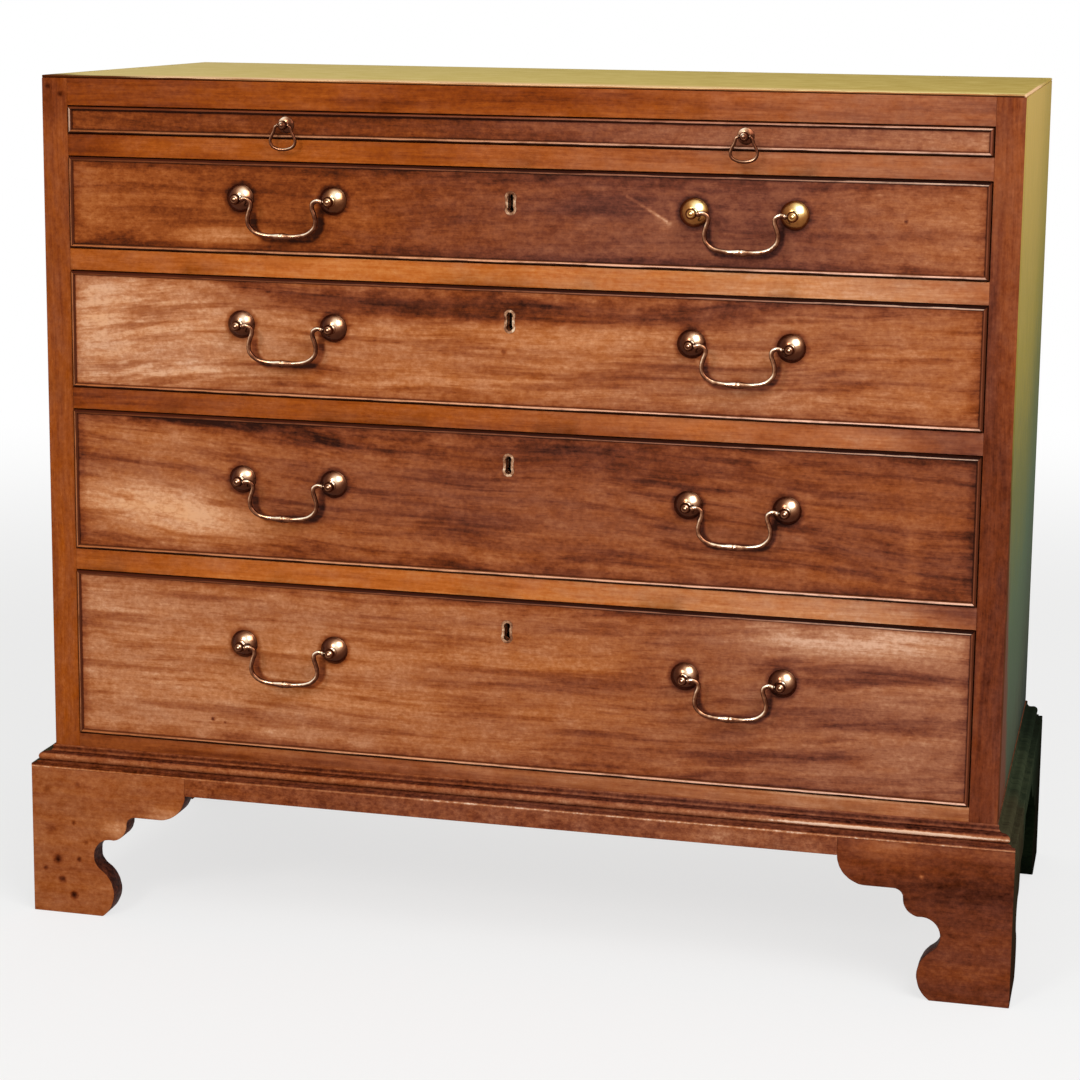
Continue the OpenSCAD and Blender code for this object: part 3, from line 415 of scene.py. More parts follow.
def top_with_painted_reflection(f, colour, lines, mottle):
    """The top is straw, a painted reflection of the surroundings, palest along its front edge, over a dark
    glue line.
    """
    depth = f.y - FACE
    upward = f.remap(f.split(f.facing)[2], 0.5, 0.8)
    worn = f.remap(depth, 40 * MM, 4 * MM, 0.0, 0.4) * f.remap(f.x, -0.42, -0.28)
    pink = f.remap(depth + mottle * 0.08, 60 * MM, 6 * MM, 0.0, 0.7)
    pink = pink * (f.remap(f.x, HALF_W, 0.0) * f.remap(f.x, -0.42, -0.3))
    tone = 0.4 + lines * 0.7 + mottle * 0.6 + worn + f.x * -0.5
    straw = f.mix(pink, f.ramp(tone, TOP_TONES), TOP_PINK)
    corner = f.vector("DISTANCE", f.place, (-HALF_W, FACE, TOP_Z))
    soiled = f.remap(corner + mottle * 0.03, 10 * MM, 45 * MM, 0.9, 0.0)
    along_edge = f.remap(depth, 5 * MM, 12 * MM, 0.95, 0.0) * f.remap(f.x, -0.33, -0.38)
    straw = f.mix(f.math("MAXIMUM", soiled, along_edge), straw, TOP_SOIL)
    lip = f.mix(f.remap(f.x, -0.34, -0.2), LIP_LEFT, LIP_RIGHT)
    lip = f.mix(f.remap(f.z, FRAME_TOP + 0.6 * MM, FRAME_TOP + 1.7 * MM), GLUE_LINE, lip)
    lip = f.mix(f.remap(f.sideways(), 0.3, 0.6), lip, TOP_END)
    arris = f.remap(HALF_W - f.x, 0.8 * MM, 2.5 * MM, 1.0, 0.0)
    arris = arris * f.remap(depth + mottle * 0.3, 0.2, 0.28, 0.9, 0.0)
    return f.mix(arris, f.mix(upward, lip, straw), TOP_ARRIS)


def bare_wood(name, palette, grain="X", seed=0.0, gloss=0.62):
    """Unpolished inner wood: dry, with open grain and the dust of its age."""
    shares = (0.25, 0.15, 0.25, 0.12, 0.1, 0.16)
    return wood(name, palette, grain, level=0.55, shares=shares, gloss=gloss, seed=seed)


def bead_finish(name, axis, lit_and_rubbed, nose, above, below=(46, 18, 8)):
    """Cockbeads: a pale band along the nose, more so to the right, is a painted highlight broken by chips of
    wear. The sides beside it are darker: painted shade on the lower sides, on the sides of the uprights and,
    on the top beads, on the upper side under the rail.

    The pale band's reach is given as a pair: the least and the greatest lean of the surface."""
    f = Finish(name)
    scale = [160.0, 160.0, 160.0]
    scale[2 if axis == 0 else 0] = 12.0
    streaks = f.noise(f.vector("MULTIPLY", f.place, scale), detail=4.0)
    chips = f.noise(f.place, 35.0, detail=4.0, roughness=0.7)
    lean = f.split(f.facing)[axis] + streaks * 0.5
    low, high = lit_and_rubbed
    pale = f.remap(lean, low - 0.15, low + 0.1) * f.remap(lean, high - 0.1, high + 0.15, 1.0, 0.0)
    pale = pale * f.remap(chips, -0.2, 0.05, 0.45, 1.0)
    pale = pale * f.remap(f.z, SLIDE_Z - 1 * MM, SLIDE_Z, 1.0, 0.7)
    # The side of the lower lean takes below and the other side above: painted shade on the lower sides and
    # the uprights' sides, and on the top beads under the rail.
    rest = f.mix(f.remap(lean, -0.2, 0.2), srgb(*below), f.ramp(f.across_chest(), above))
    colour = f.mix(pale, rest, f.ramp(f.across_chest(), nose))
    # Painted shade: where the bead meets the face, in the gap, it takes the dark below colour.
    sunk = f.remap(f.y, FACE - 0.5 * MM, FACE)
    f.set(base_color=f.mix(sunk, colour, srgb(*below)), specular_ior_level=0.03)
    f.set(roughness=f.remap(streaks, -0.3, 0.3, 0.3, 0.45))
    f.bump(streaks, GRAIN_DEPTH)
    return f.material


def brass(name, shades, towards, base=0.2, highlight_gain=0.75, stain=0.3, spread=10.0, lift=0.0):
    """Old cast brass with stains, lighter where the surface faces the given way and darker away from it: a
    painted highlight and painted shade.

    A second row of shades shows on the right of the chest, and lift brightens the brass there."""
    f = Finish(name)
    facing = f.above_zero(f.vector("DOT_PRODUCT", f.facing, Vector(towards).normalized()))
    stains = f.noise(f.place, 160.0, detail=5.0, roughness=0.65)
    # The facing term paints a highlight towards the given way and shade away from it; the stains are tarnish.
    lit_and_rubbed = base + f.math("POWER", facing, spread) * highlight_gain + stains * stain
    lit_and_rubbed = lit_and_rubbed + f.remap(f.x, -0.1, 0.1, 0.0, lift)
    colour = f.ramp(lit_and_rubbed, shades[0])
    if len(shades) > 1:
        colour = f.mix(f.remap(f.x, -0.28, 0.1), colour, f.ramp(lit_and_rubbed, shades[1]))
    f.set(base_color=colour, metallic=1.0)
    f.set(roughness=f.remap(stains, -0.3, 0.3, 0.16, 0.26))
    f.bump(f.noise(f.place, 300.0), 0.02 * MM)
    return f.material


def iron(name):
    """Wrought iron, blackened, with a trace of rust."""
    f = Finish(name)
    rust = f.remap(f.noise(f.place, 160.0), 0.0, 0.3)
    f.set(base_color=f.mix(rust, srgb(70, 66, 62), srgb(96, 62, 42)), metallic=0.75)
    f.set(roughness=f.remap(f.noise(f.place, 500.0), -0.3, 0.3, 0.42, 0.66))
    f.bump(f.noise(f.place, 900.0), 0.06 * MM)
    return f.material


# Brass from dark to bright: the darkest stops hold painted shade and tarnish, the palest a painted highlight
SHADE_TO_HIGHLIGHT = (0.0, 0.3, 0.5, 0.7, 0.85, 1.0)
BRONZE = list(zip(SHADE_TO_HIGHLIGHT, [
    (36, 16, 10), (84, 44, 28), (130, 82, 56), (190, 142, 108), (238, 204, 170), (255, 240, 214)]))
GOLDEN = list(zip(SHADE_TO_HIGHLIGHT, [
    (48, 22, 10), (106, 58, 26), (160, 104, 54), (214, 166, 100), (248, 220, 150), (255, 246, 200)]))

# ---- Shapes ----

# Distance between the cuts across a board, a weld of points that fall together, and the angles at which
# an edge is rounded and at which two faces are one
CUT = 14 * MM
WELD = 0.01 * MM
SHARP = math.radians(40)
FLAT = math.radians(1)

# How deep wear bites into the arrises
WEAR = 0.5 * MM
LIGHT_WEAR = 0.4 * MM
TOP_WEAR = 0.6 * MM
MOULD_WEAR = 0.25 * MM
BEAD_WEAR = 0.22 * MM


def added(name, data):
    """Adds an object to the scene."""
    made = bpy.data.objects.new(name, data)
    bpy.context.scene.collection.objects.link(made)
    return made


def as_mesh(bm, name):
    """Turns a bmesh into a mesh."""
    mesh = bpy.data.meshes.new(name)
    bm.to_mesh(mesh)
    bm.free()
    return mesh


def arc(x, y, radius, start, end, steps=12):
    """Points of an arc, in degrees."""
    turns = [math.radians(start + (end - start) * i / steps) for i in range(steps + 1)]
    return [(x + radius * math.cos(a), y + radius * math.sin(a)) for a in turns]


def loft(bm, rings, closed=False):
    """Skins a row of rings, each a loop of points, and caps its ends unless the row is closed."""
    rows = [[bm.verts.new(point) for point in ring] for ring in rings]
    following = rows[1:] + (rows[:1] if closed else [])
    for row, after in zip(rows, following):
        for i in range(len(row)):
            bm.faces.new((row[i - 1], row[i], after[i], after[i - 1]))
    if not closed:
        bm.faces.new(reversed(rows[0]))
        bm.faces.new(rows[-1])


def run(section, stations, span, place):
    """Carries a section along; span gives where each of its points starts and how far it goes."""
    rings = []
    for i in range(stations + 1):
        ring = []
        for point in section:
            start, whole = span(*point)
            ring.append(place(start + i / stations * whole, *point))
        rings.append(ring)
    bm = bmesh.new()
    loft(bm, rings)
    return bm


def merged(parts):
    """One bmesh with everything in parts."""
    whole = bmesh.new()
    for part in parts:
        scratch = as_mesh(part, "scratch")
        whole.from_mesh(scratch)
        bpy.data.meshes.remove(scratch)
    return whole


def cut_across(bm, axes, step):
    """Cuts a piece across, so that wear has points to move."""
    for axis in axes:
        places = [v.co[axis] for v in bm.verts]
        low, high = min(places), max(places)
        count = int((high - low) / step)
        normal = Vector([1.0 if k == axis else 0.0 for k in range(3)])
        for i in range(1, count):
            point = normal * (low + (high - low) * i / count)
            geometry = bm.verts[:] + bm.edges[:] + bm.faces[:]
            bmesh.ops.bisect_plane(bm, geom=geometry, plane_co=point, plane_no=normal)


def soften(bm, edges, width, clamp=False):
    """Rounds edges over with two facets."""
    bmesh.ops.bevel(
        bm, geom=edges, offset=width, segments=2, profile=0.5, affect="EDGES", clamp_overlap=clamp)


def rounded_board(low, high, arris=ARRIS, axes=None, step=CUT):
    """A board with rounded arrises, cut across its long axes."""
    low, high = Vector(low), Vector(high)
    bm = bmesh.new()
    size = high - low
    place = Matrix.Translation((low + high) / 2) @ Matrix.Diagonal((*size, 1.0))
    bmesh.ops.create_cube(bm, size=1.0, matrix=place)
    soften(bm, bm.edges[:], arris)
    longest = [max(range(3), key=lambda k: size[k])]
    cut_across(bm, longest if axes is None else axes, step)
    return bm


def worn_copy(node, axes=()):
    """The shape of a CAD node with its sharp edges rounded, cut across along axes."""
    bm = bmesh.new()
    bm.from_mesh(frame["nodes"][node].data)
    bmesh.ops.remove_doubles(bm, verts=bm.verts, dist=WELD)
    bmesh.ops.dissolve_limit(bm, angle_limit=FLAT, verts=bm.verts, edges=bm.edges)
    sharp = [e for e in bm.edges if e.is_manifold and e.calc_face_angle() > SHARP]
    soften(bm, sharp, CRISP, clamp=True)
    cut_across(bm, axes, CUT)
    return bm


def wear(bm, depth, size=30 * MM, seed=0.0):
    """Bites into the arrises: points whose normals lean move inwards, further where the noise is high."""
    bmesh.ops.recalc_face_normals(bm, faces=bm.faces)
    bm.normal_update()
    moves = []
    for vertex in bm.verts:
        normal = vertex.normal
        lean = 1.0 - max(abs(c) for c in normal)
        if lean > 0.04:
            at = vertex.co / size + Vector((seed, 2 * seed, 0.0))
            bite = 0.35 + noise.noise(at) + 0.5 * noise.noise(at * 4.3)
            moves.append((vertex, normal * (-depth * max(0.0, bite))))
    for vertex, move in moves:
        vertex.co += move
    return bm


def piece(name, bm, material, body, stands_for=(), smooth=32):
    """Makes a bmesh into a piece that rides on a body and stands for CAD nodes; smooth is in degrees."""
    bmesh.ops.recalc_face_normals(bm, faces=bm.faces)
    mesh = as_mesh(bm, name)
    mesh.materials.append(material)
    mesh.shade_smooth()
    mesh.set_sharp_from_angle(angle=math.radians(smooth))
    made = added(name, mesh)
    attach(made, body)
    if stands_for:
        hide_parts(*stands_for)
    return made


def stand_in(node, bm, material, body="carcase"):
    """Makes the worn piece that stands for one CAD node."""
    return piece(node + "_worn", bm, material, body, [node])


def dress(node, material):
    """Gives a CAD node a better material."""
    made = frame["nodes"][node]
    if not made.material_slots:
        made.data.materials.append(material)
    for slot in made.material_slots:
        slot.material = material


# ---- Carcase ----

# Each rail's own tone, by its height in millimetres
RAIL_TONES = [
    (339, 0.28), (358, 0.28), (484, 0.14), (524, 0.14), (629, 0.31), (645, 0.31), (733, 0.16), (790, 0.07)]

# Shares of the layers of grain in plain and in smooth wood, and in wood that is mottled by dirt
PLAIN = (0.14, 0.05, 0.2, 0.1, 0.13, 0.03)
SMOOTH = (0.12, 0.04, 0.16, 0.08, 0.14, 0.03)
MOTTLED = (0.08, 0.03, 0.08, 0.24, 0.34, 0.04)

frame_x = wood(
    "frame_wood_across", ORANGE, "X", heights=RAIL_TONES, bend=5, shares=PLAIN, seed=3.1, second=COOL,
    zones=[(0.0, 0.2), (0.2, 0.34), (0.5, 0.38), (0.8, 0.47), (1.0, 0.42)],
    second_zones=[(0.4, 0.05), (0.65, 0.4), (0.9, 0.85)],
    patches=[
        (40, 791, 210, 20, -0.22), (-425, 742, 60, 14, -0.15), (-100, 742, 90, 14, -0.08),
        (430, 480, 80, 330, -0.22), (250, 504, 70, 14, -0.14), (-420, 348, 50, 14, 0.08),
        (420, 352, 60, 14, -0.12)])
bottom_rail_wood = wood(
    "bottom_rail_wood", WARM, "X", bend=1, shares=PLAIN, seed=5.3, second=COOL,
    zones=[
        (0.04, 0.36), (0.2, 0.5), (0.28, 0.58), (0.4, 0.53), (0.55, 0.64), (0.65, 0.6), (0.8, 0.7),
        (0.96, 0.66)],
    second_zones=[(0.0, 0.1), (0.5, 0.4), (1.0, 0.5)],
    patches=[(-200, 166, 240, 4, -0.14), (300, 175.5, 140, 2, 0.14)])
frame_z = wood(
    "frame_wood_upright", ORANGE, "Z", level=0.46, shares=SMOOTH, shine=0.0, seed=7.7, second=COOL,
    second_zones=[(0.1, 0.25), (0.95, 0.65)], outside=sides_with_painted_reflection,
    patches=[(437, 390, 70, 300, -0.22), (437, 790, 60, 40, -0.08), (-437, 786, 40, 26, -0.14)],
    spots=[(-444, 796, 4, -0.25), (-432, 789, 4, -0.3)])
carcase_wood = wood(
    "carcase_wood", WARM, "Z", level=0.32, outside=sides_with_painted_reflection, gloss=0.7, shine=0.02, seed=12.0)
top_wood = wood("top_wood", WARM, "X", level=0.45, outside=top_with_painted_reflection, gloss=0.7, shine=0.0, seed=14.5)
oak_x = bare_wood("oak_across", DRY_OAK, "X", seed=21.0)
oak_y = bare_wood("oak_lengthwise", DRY_OAK, "Y", seed=23.0)
pine_x = bare_wood("back_pine", OLD_PINE, "X", seed=27.0, gloss=0.75)

# The part of the top board that lies inside the carcase: how far it stays clear of the sides, and its cuts
INNER_CLEAR = 20 * MM
INNER_CUT = 100 * MM


def mirrored(low, high):
    """The same box on the left-hand side."""
    return (-high[0], low[1], low[2]), (-low[0], high[1], high[2])


def make_carcase():
    """The worn boards of the carcase, and bare wood for those inside it."""
    stile = ((OPENING_HALF, FACE, FOOT_H), (HALF_W, FACE + STILE_D, FRAME_TOP))
    stiles = [rounded_board(*stile, arris=CRISP), rounded_board(*mirrored(*stile), arris=CRISP)]
    stand_in("front_stiles", wear(merged(stiles), WEAR), frame_z)
    board = rounded_board((-HALF_W, FACE, FRAME_TOP), (HALF_W, BACK, TOP_Z), arris=0.7 * MM, axes=(0, 1))
    inner_low = (-HALF_W + INNER_CLEAR, FACE + STILE_D, top_low.z)
    inner = rounded_board(inner_low, (HALF_W - INNER_CLEAR, BACK_INNER, FRAME_TOP), step=INNER_CUT)
    stand_in("top_board", merged([wear(board, TOP_WEAR), inner]), top_wood)
    for node in ("side_left", "side_right"):
        stand_in(node, wear(worn_copy(node), LIGHT_WEAR), carcase_wood)
    for node, finish in (("top_rail", frame_x), ("bottom_rail", bottom_rail_wood)):
        stand_in(node, wear(rounded_board(*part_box(node), arris=CRISP), LIGHT_WEAR), finish)
    stand_in("drawer_rails", wear(worn_copy("drawer_rails", axes=(0,)), LIGHT_WEAR), frame_x)
    for node, finish in (
        ("dust_boards", oak_x), ("bottom_board", oak_x), ("drawer_runners", oak_y), ("drawer_stops", oak_x),
        ("back_boards", pine_x),
    ):
        dress(node, finish)


make_carcase()

# ---- Base ----

# Tones of the base by height in millimetres: feet, plinth strip, and the fillet, quirk, bead, cove and top
# fillet of the moulding. The light band at the plinth's top edge and the lift along the bead are painted
# highlights; the dark bands at the quirk, above the bead and in the cove are painted shade
BASE_TONES = [
    (144.2, 0.12), (144.8, 0.32), (145.4, 0.52), (146.2, 0.46), (146.9, 0.05), (147.5, -0.12), (148.2, -0.15),
    (148.6, 0.0), (149.3, 0.06), (149.8, 0.02), (150.3, 0.0), (150.9, 0.08), (151.8, 0.2), (152.8, 0.22),
    (153.9, 0.25), (155, 0.28), (156, 0.26), (156.9, 0.18), (157.4, -0.05), (157.8, -0.2), (158.2, -0.05),
    (158.7, 0.22), (159.4, 0.06), (160.6, -0.1), (161.4, -0.1), (162.4, 0.06), (163.5, 0.18)]
# The bead's pale band on the right is a painted highlight, the dark band just above it painted shade, and the
# palest stop of the second palette is there for that highlight.
base_wood = wood(
    "base_wood", WARM, "X", shares=MOTTLED, heights=BASE_TONES, bend=1, outside=base_sides_with_painted_reflection, gloss=0.34,
    shine=0.0, seed=31.0, second=COOL[:-1] + [(246, 214, 190)],
    zones=[(0.0, 0.36), (0.3, 0.32), (0.75, 0.34), (1.0, 0.26)],
    second_zones=[(0.25, 0.3), (0.5, 0.7), (0.75, 1.0)],
    patches=[
        (205, 137, 60, 10, 0.16), (360, 154.0, 170, 2.4, 0.9), (360, 157.4, 170, 1.2, -0.3),
        (-280, 145.6, 220, 1.8, -0.18)])
foot_wood = wood(
    "foot_wood", WARM, "X", shares=(0.12, 0.03, 0.1, 0.14, 0.2, 0.03), bend=3, outside=base_sides_with_painted_reflection,
    gloss=0.5, shine=0.0, seed=35.0, second=COOL,
    zones=[(0.0, 0.58), (0.3, 0.54), (0.8, 0.27), (1.0, 0.29)],
    second_zones=[(0.2, 0.3), (0.9, 0.55)],
    patches=[
        (-330, 108, 26, 10, 0.24), (-381, 90, 18, 12, 0.24), (430, 140, 120, 9, 0.14),
        (352, 138, 40, 14, 0.22), (430, 108, 100, 22, -0.14), (430, 40, 60, 30, 0.04)],
    spots=[
        (-442, 54, 7, -0.5), (-420, 56, 4, -0.4), (-438, 34, 6, -0.45), (-426, 19, 6, -0.6),
        (-425, 92, 4, -0.3), (-413, 73, 4, -0.3), (-455, 44, 4, -0.3), (-448, 84, 8, -0.2),
        (-452, 124, 6, -0.2), (-421, 131, 4, -0.25), (387, 115, 3, 0.4)])
# The brackets' cut edges, which mostly face the floor, and the blocks in the hollow behind them are near
# black: painted shade.
foot_edge_wood = wood(
    "foot_edge_wood", WARM, "X", level=0.06, second=COOL, second_zones=[(0.0, 0.7), (1.0, 0.7)],
    shares=MOTTLED, seed=36.0, gloss=0.6)
rear_edge_wood = wood(
    "rear_edge_wood", NEAR_BLACK_GREEN, "X", level=0.4, shares=MOTTLED, seed=38.0, gloss=0.7, shine=0.0)
block_wood = wood(
    "block_wood", WARM, "Z", level=0.02, second=COOL, second_zones=[(0.0, 0.8), (1.0, 0.8)], shares=MOTTLED,
    seed=37.0, gloss=0.7)

# Section of the moulding, out from the carcase and up from the feet: fillet, quirk, bead, cove, top fillet
QUIRK_Z = 3.5 * MM
BEAD_R = 4.2 * MM
COVE_R = 3.2 * MM
FILLET_W = 2.0 * MM
FILLET_H = 2.5 * MM
STEP_BACK = 0.1 * MM
QUIRK_BACK = 4.0 * MM
BEAD_BACK = 9.5 * MM
QUIRK_W = 1.2 * MM
STATION = 12 * MM


def mould_section():
    """Points of the moulding's section: distance out from the carcase and height above the feet."""
    fillet = PROJECTION - STEP_BACK
    quirk = PROJECTION - QUIRK_BACK
    bead_z = QUIRK_Z + QUIRK_W + BEAD_R
    lower = [(0.0, 0.0), (fillet, 0.0), (fillet, QUIRK_Z - ARRIS), (fillet - ARRIS, QUIRK_Z)]
    bead = arc(PROJECTION - BEAD_BACK, bead_z, BEAD_R, -70, 100, 18)
    cove = arc(FILLET_W + COVE_R, MOULD_H - FILLET_H, COVE_R, 270, 180, 10)
    upper = [(FILLET_W, MOULD_H - ARRIS), (FILLET_W - ARRIS, MOULD_H), (0.0, MOULD_H)]
    return lower + [(quirk, QUIRK_Z), (quirk, QUIRK_Z + QUIRK_W)] + bead + cove + upper


def moulding_run(place, length, mitred_end):
    """A length of moulding: it starts in a mitre, and ends in one if mitred_end."""
    mitres = 2 if mitred_end else 1
    bm = run(mould_section(), int(length / STATION), lambda out, up: (-out, length + mitres * out), place)
    return wear(bm, MOULD_WEAR, size=22 * MM)


def make_moulding():
    """The base moulding along the front and the sides, and the plinth strips under it."""
    length = BACK - FACE - JOINT_GAP
    parts = [moulding_run(lambda s, out, up: (s - HALF_W, FACE - out, FOOT_H + up), 2 * HALF_W, True)]
    for side in (-1, 1):
        def place(s, out, up, side=side):
            return side * (HALF_W + out), FACE + JOINT_GAP + s, FOOT_H + up

        parts.append(moulding_run(place, length, False))
    stand_in("base_moulding", merged(parts), base_wood)
    reach, front = HALF_W + PROJECTION, FACE - PROJECTION
    spans = [
        ((-reach + BRACKET_L, front, UNDER), (reach - BRACKET_L, front + BRACKET_T, FOOT_H)),
        ((reach - BRACKET_T, front + BRACKET_L, UNDER), (reach, BACK - BRACKET_L, FOOT_H)),
    ]
    spans.append(mirrored(*spans[1]))
    strips = [rounded_board(low, high, arris=CRISP) for low, high in spans]
    stand_in("plinth_strips", wear(merged(strips), WEAR), base_wood)


# Feet: the thickness of a bracket, the curves and widths of its outline, and the blocks behind it
BRACKET_T = 22 * MM
OVOLO_R = 26 * MM
CUSP_FLAT = 25 * MM
CUSP_R = 9 * MM
LOBE_R = 16 * MM
BITE_R = 17 * MM
BITE_IN = 1 * MM
TOE_R = 28 * MM
TOE_Z = 23 * MM
SOLE_W = 71 * MM
BACK_SOLE_W = 62 * MM
BACK_BRACKET_L = 125 * MM
CORNER_BLOCK = 28 * MM
GLUE_BLOCK_L = 70 * MM
GLUE_BLOCK_H = 20 * MM
BLOCK_LIFT = 4 * MM


def bracket_outline():
    """Ovolo, cusp, lobe, round bite and toe, from the strip down to the floor."""
    cusp_x = BRACKET_L - OVOLO_R - CUSP_FLAT
    cusp_z = UNDER - OVOLO_R - CUSP_R
    lobe_x = cusp_x - CUSP_R - LOBE_R
    bite_x = lobe_x - BITE_IN
    toe_x = SOLE_W - math.sqrt(TOE_R ** 2 - TOE_Z ** 2)
    bite_z = TOE_Z + math.sqrt((BITE_R + TOE_R) ** 2 - (bite_x - toe_x) ** 2)
    meet = math.degrees(math.atan2(bite_z - TOE_Z, bite_x - toe_x))
    toe_end = -math.degrees(math.asin(TOE_Z / TOE_R))
    corner = [(0.0, FOOT_H * i / 20) for i in range(20)]
    head = [(BRACKET_L * i / 12, FOOT_H) for i in range(13)]
    ovolo = arc(BRACKET_L - OVOLO_R, UNDER, OVOLO_R, 0, -90, 18)
    cusp = arc(cusp_x, cusp_z, CUSP_R, 90, 180, 10)
    lobe = arc(lobe_x, cusp_z, LOBE_R, 0, -80, 10)
    bite = arc(bite_x, bite_z, BITE_R, 90, 180 + meet, 18)
    toe = arc(toe_x, TOE_Z, TOE_R, meet, toe_end, 18)
    return corner + head + ovolo + cusp + lobe + bite + toe


def back_outline():
    """The plain bracket under the back, which nobody sees from the room."""
    return [
        (0.0, 0.0), (0.0, FOOT_H), (BACK_BRACKET_L, FOOT_H), (BACK_BRACKET_L, UNDER),
        (BACK_SOLE_W, UNDER / 3), (BACK_SOLE_W, 0.0)]


def inset(points, amount):
    """An outline moved inwards by amount at every point; it runs clockwise."""
    result = []
    for i, point in enumerate(points):
        before, after = points[i - 1], points[(i + 1) % len(points)]
        ways = []
        for a, b in ((before, point), (point, after)):
            step = Vector((b[0] - a[0], b[1] - a[1]))
            if step.length > 1e-7:
                ways.append(Vector((step.y, -step.x)).normalized())
        way = sum(ways, Vector((0.0, 0.0)))
        way = way / max(way.length_squared / len(ways), 1e-6)
        result.append((point[0] + way.x * amount, point[1] + way.y * amount))
    return result


def bracket(outline, place, mitred, arris=0.8 * MM):
    """A shaped board, rounded along both faces; place turns distance, depth and height into a point."""
    depths = [(0.0, 1.0), (0.3, 0.3), (1.0, 0.0)]
    layers = [(arris * d, arris * share) for d, share in depths]
    layers += [(BRACKET_T - d, share) for d, share in reversed(layers)]
    bm = bmesh.new()
    rings = []
    for depth, amount in layers:
        ring = inset(outline, amount)
        rings.append([place(max(u, depth if mitred else 0.0), depth, max(z, 0.0)) for u, z in ring])
    loft(bm, rings)
    across = (Vector(place(0.0, 1.0, 0.0)) - Vector(place(0.0, 0.0, 0.0))).normalized()
    bm.normal_update()
    for face in bm.faces:
        face.material_index = 1 if abs(face.normal.dot(across)) < 0.3 else 0
    bmesh.ops.remove_doubles(bm, verts=bm.verts, dist=WELD)
    return wear(bm, WEAR, size=18 * MM, seed=rings[0][0][0] * 9)


def foot_blocks(place):
    """Corner block and two glue blocks; place takes two distances from the corner and a height."""
    near = BRACKET_T + JOINT_GAP
    far = near + CORNER_BLOCK + JOINT_GAP
    spans = [
        ((near, near, BLOCK_LIFT), (near + CORNER_BLOCK, near + CORNER_BLOCK, FOOT_H)),
        ((far, near, FOOT_H - GLUE_BLOCK_H), (far + GLUE_BLOCK_L, near + GLUE_BLOCK_H, FOOT_H)),
        ((near, far, FOOT_H - GLUE_BLOCK_H), (near + GLUE_BLOCK_H, far + GLUE_BLOCK_L, FOOT_H)),
    ]
    boards = []
    for a, b in spans:
        p, q = place(*a), place(*b)
        boards.append(rounded_board(map(min, p, q), map(max, p, q)))
    return boards


def make_foot(name, shape, edge, blocks):
    """A foot: its shaped boards, with their own finish along the cut edges, and the blocks behind them."""
    foot = stand_in(name, shape, foot_wood)
    foot.data.materials.append(edge)
    piece(name + "_blocks", wear(merged(blocks), WEAR), block_wood, "carcase")


def make_feet():
    """Two mitred brackets for each front foot; a side bracket and a plain back bracket for each rear one."""
    for side, word in zip((-1, 1), SIDES):
        corner_x = side * (HALF_W + PROJECTION)
        corner_y = FACE - PROJECTION
        shape = bracket_outline()
        across = bracket(shape, lambda u, v, z: (corner_x - side * u, corner_y + v, z), True)
        along = bracket(shape, lambda u, v, z: (corner_x - side * v, corner_y + JOINT_GAP + u, z), True)
        blocks = foot_blocks(lambda u, v, z: (corner_x - side * u, corner_y + v, z))
        make_foot("foot_front_" + word, merged([across, along]), foot_edge_wood, blocks)
        along = bracket(shape, lambda u, v, z: (corner_x - side * v, BACK - u, z), False)
        start = corner_x - side * (BRACKET_T + JOINT_GAP)
        rear = bracket(back_outline(), lambda u, v, z: (start - side * u, BACK - v, z), False)
        blocks = foot_blocks(lambda u, v, z: (corner_x - side * u, BACK - v, z))
        make_foot("foot_back_" + word, along, rear_edge_wood, blocks + [rear])


make_moulding()
make_feet()

# ---- Cockbeads ----

# The pale noses are painted highlights, brightest to the right, broken by chips of wear; the dark colours
# above the top beads, below the beads and beside the upright ones are painted shade.
LOW_BEAD = bead_finish(
    "low_bead_wood", 2, (-0.3, 0.6), above=[(0.5, (108, 56, 28))],
    nose=[(0.04, (176, 102, 56)), (0.4, (222, 156, 114)), (0.8, (240, 188, 160))])
HIGH_BEAD = bead_finish(
    "high_bead_wood", 2, (-0.85, -0.3), above=[(0.1, (74, 30, 14)), (0.5, (48, 18, 9)), (0.9, (34, 12, 7))],
    nose=[(0.04, (122, 62, 30)), (0.5, (150, 90, 62)), (0.75, (186, 130, 104)), (0.97, (238, 198, 172))],
    below=(70, 32, 18))
SLIDE_HIGH_BEAD = bead_finish(
    "slide_high_bead_wood", 2, (-0.1, 0.7), above=[(0.5, (84, 36, 16))],
    nose=[(0.04, (118, 56, 24)), (0.5, (140, 80, 54)), (0.7, (206, 142, 112)), (0.97, (240, 190, 160))])
UPRIGHT_BEAD = bead_finish(
    "upright_bead_wood", 0, (-0.7, 0.1), above=[(0.5, (84, 40, 22))], below=(84, 40, 22),
    nose=[(0.04, (176, 106, 64)), (0.06, (150, 86, 50)), (0.94, (118, 60, 38)), (0.97, (126, 68, 44))])
SLIDE_UPRIGHT_BEAD = bead_finish(
    "slide_upright_bead_wood", 0, (-0.7, 0.3), above=[(0.5, (84, 40, 22))],
    nose=[(0.3, (236, 190, 160)), (0.7, (150, 84, 60))])

BEAD_STATION = 10 * MM


def bead_strip(place, length):
    """A strip with a half-round nose and mitred ends."""
    nose = BEAD_T / 2
    half_round = arc(nose - BEAD_PROUD, nose, nose, -90, -270, 10)
    section = [(FACE + back, up) for back, up in [(BEAD_D, 0.0)] + half_round + [(BEAD_D, BEAD_T)]]
    stations = max(2, int(length / BEAD_STATION))
    bm = run(section, stations, lambda y, up: (JOINT_GAP + up, length - 2 * JOINT_GAP - 2 * up), place)
    return wear(bm, BEAD_WEAR, size=16 * MM, seed=length)


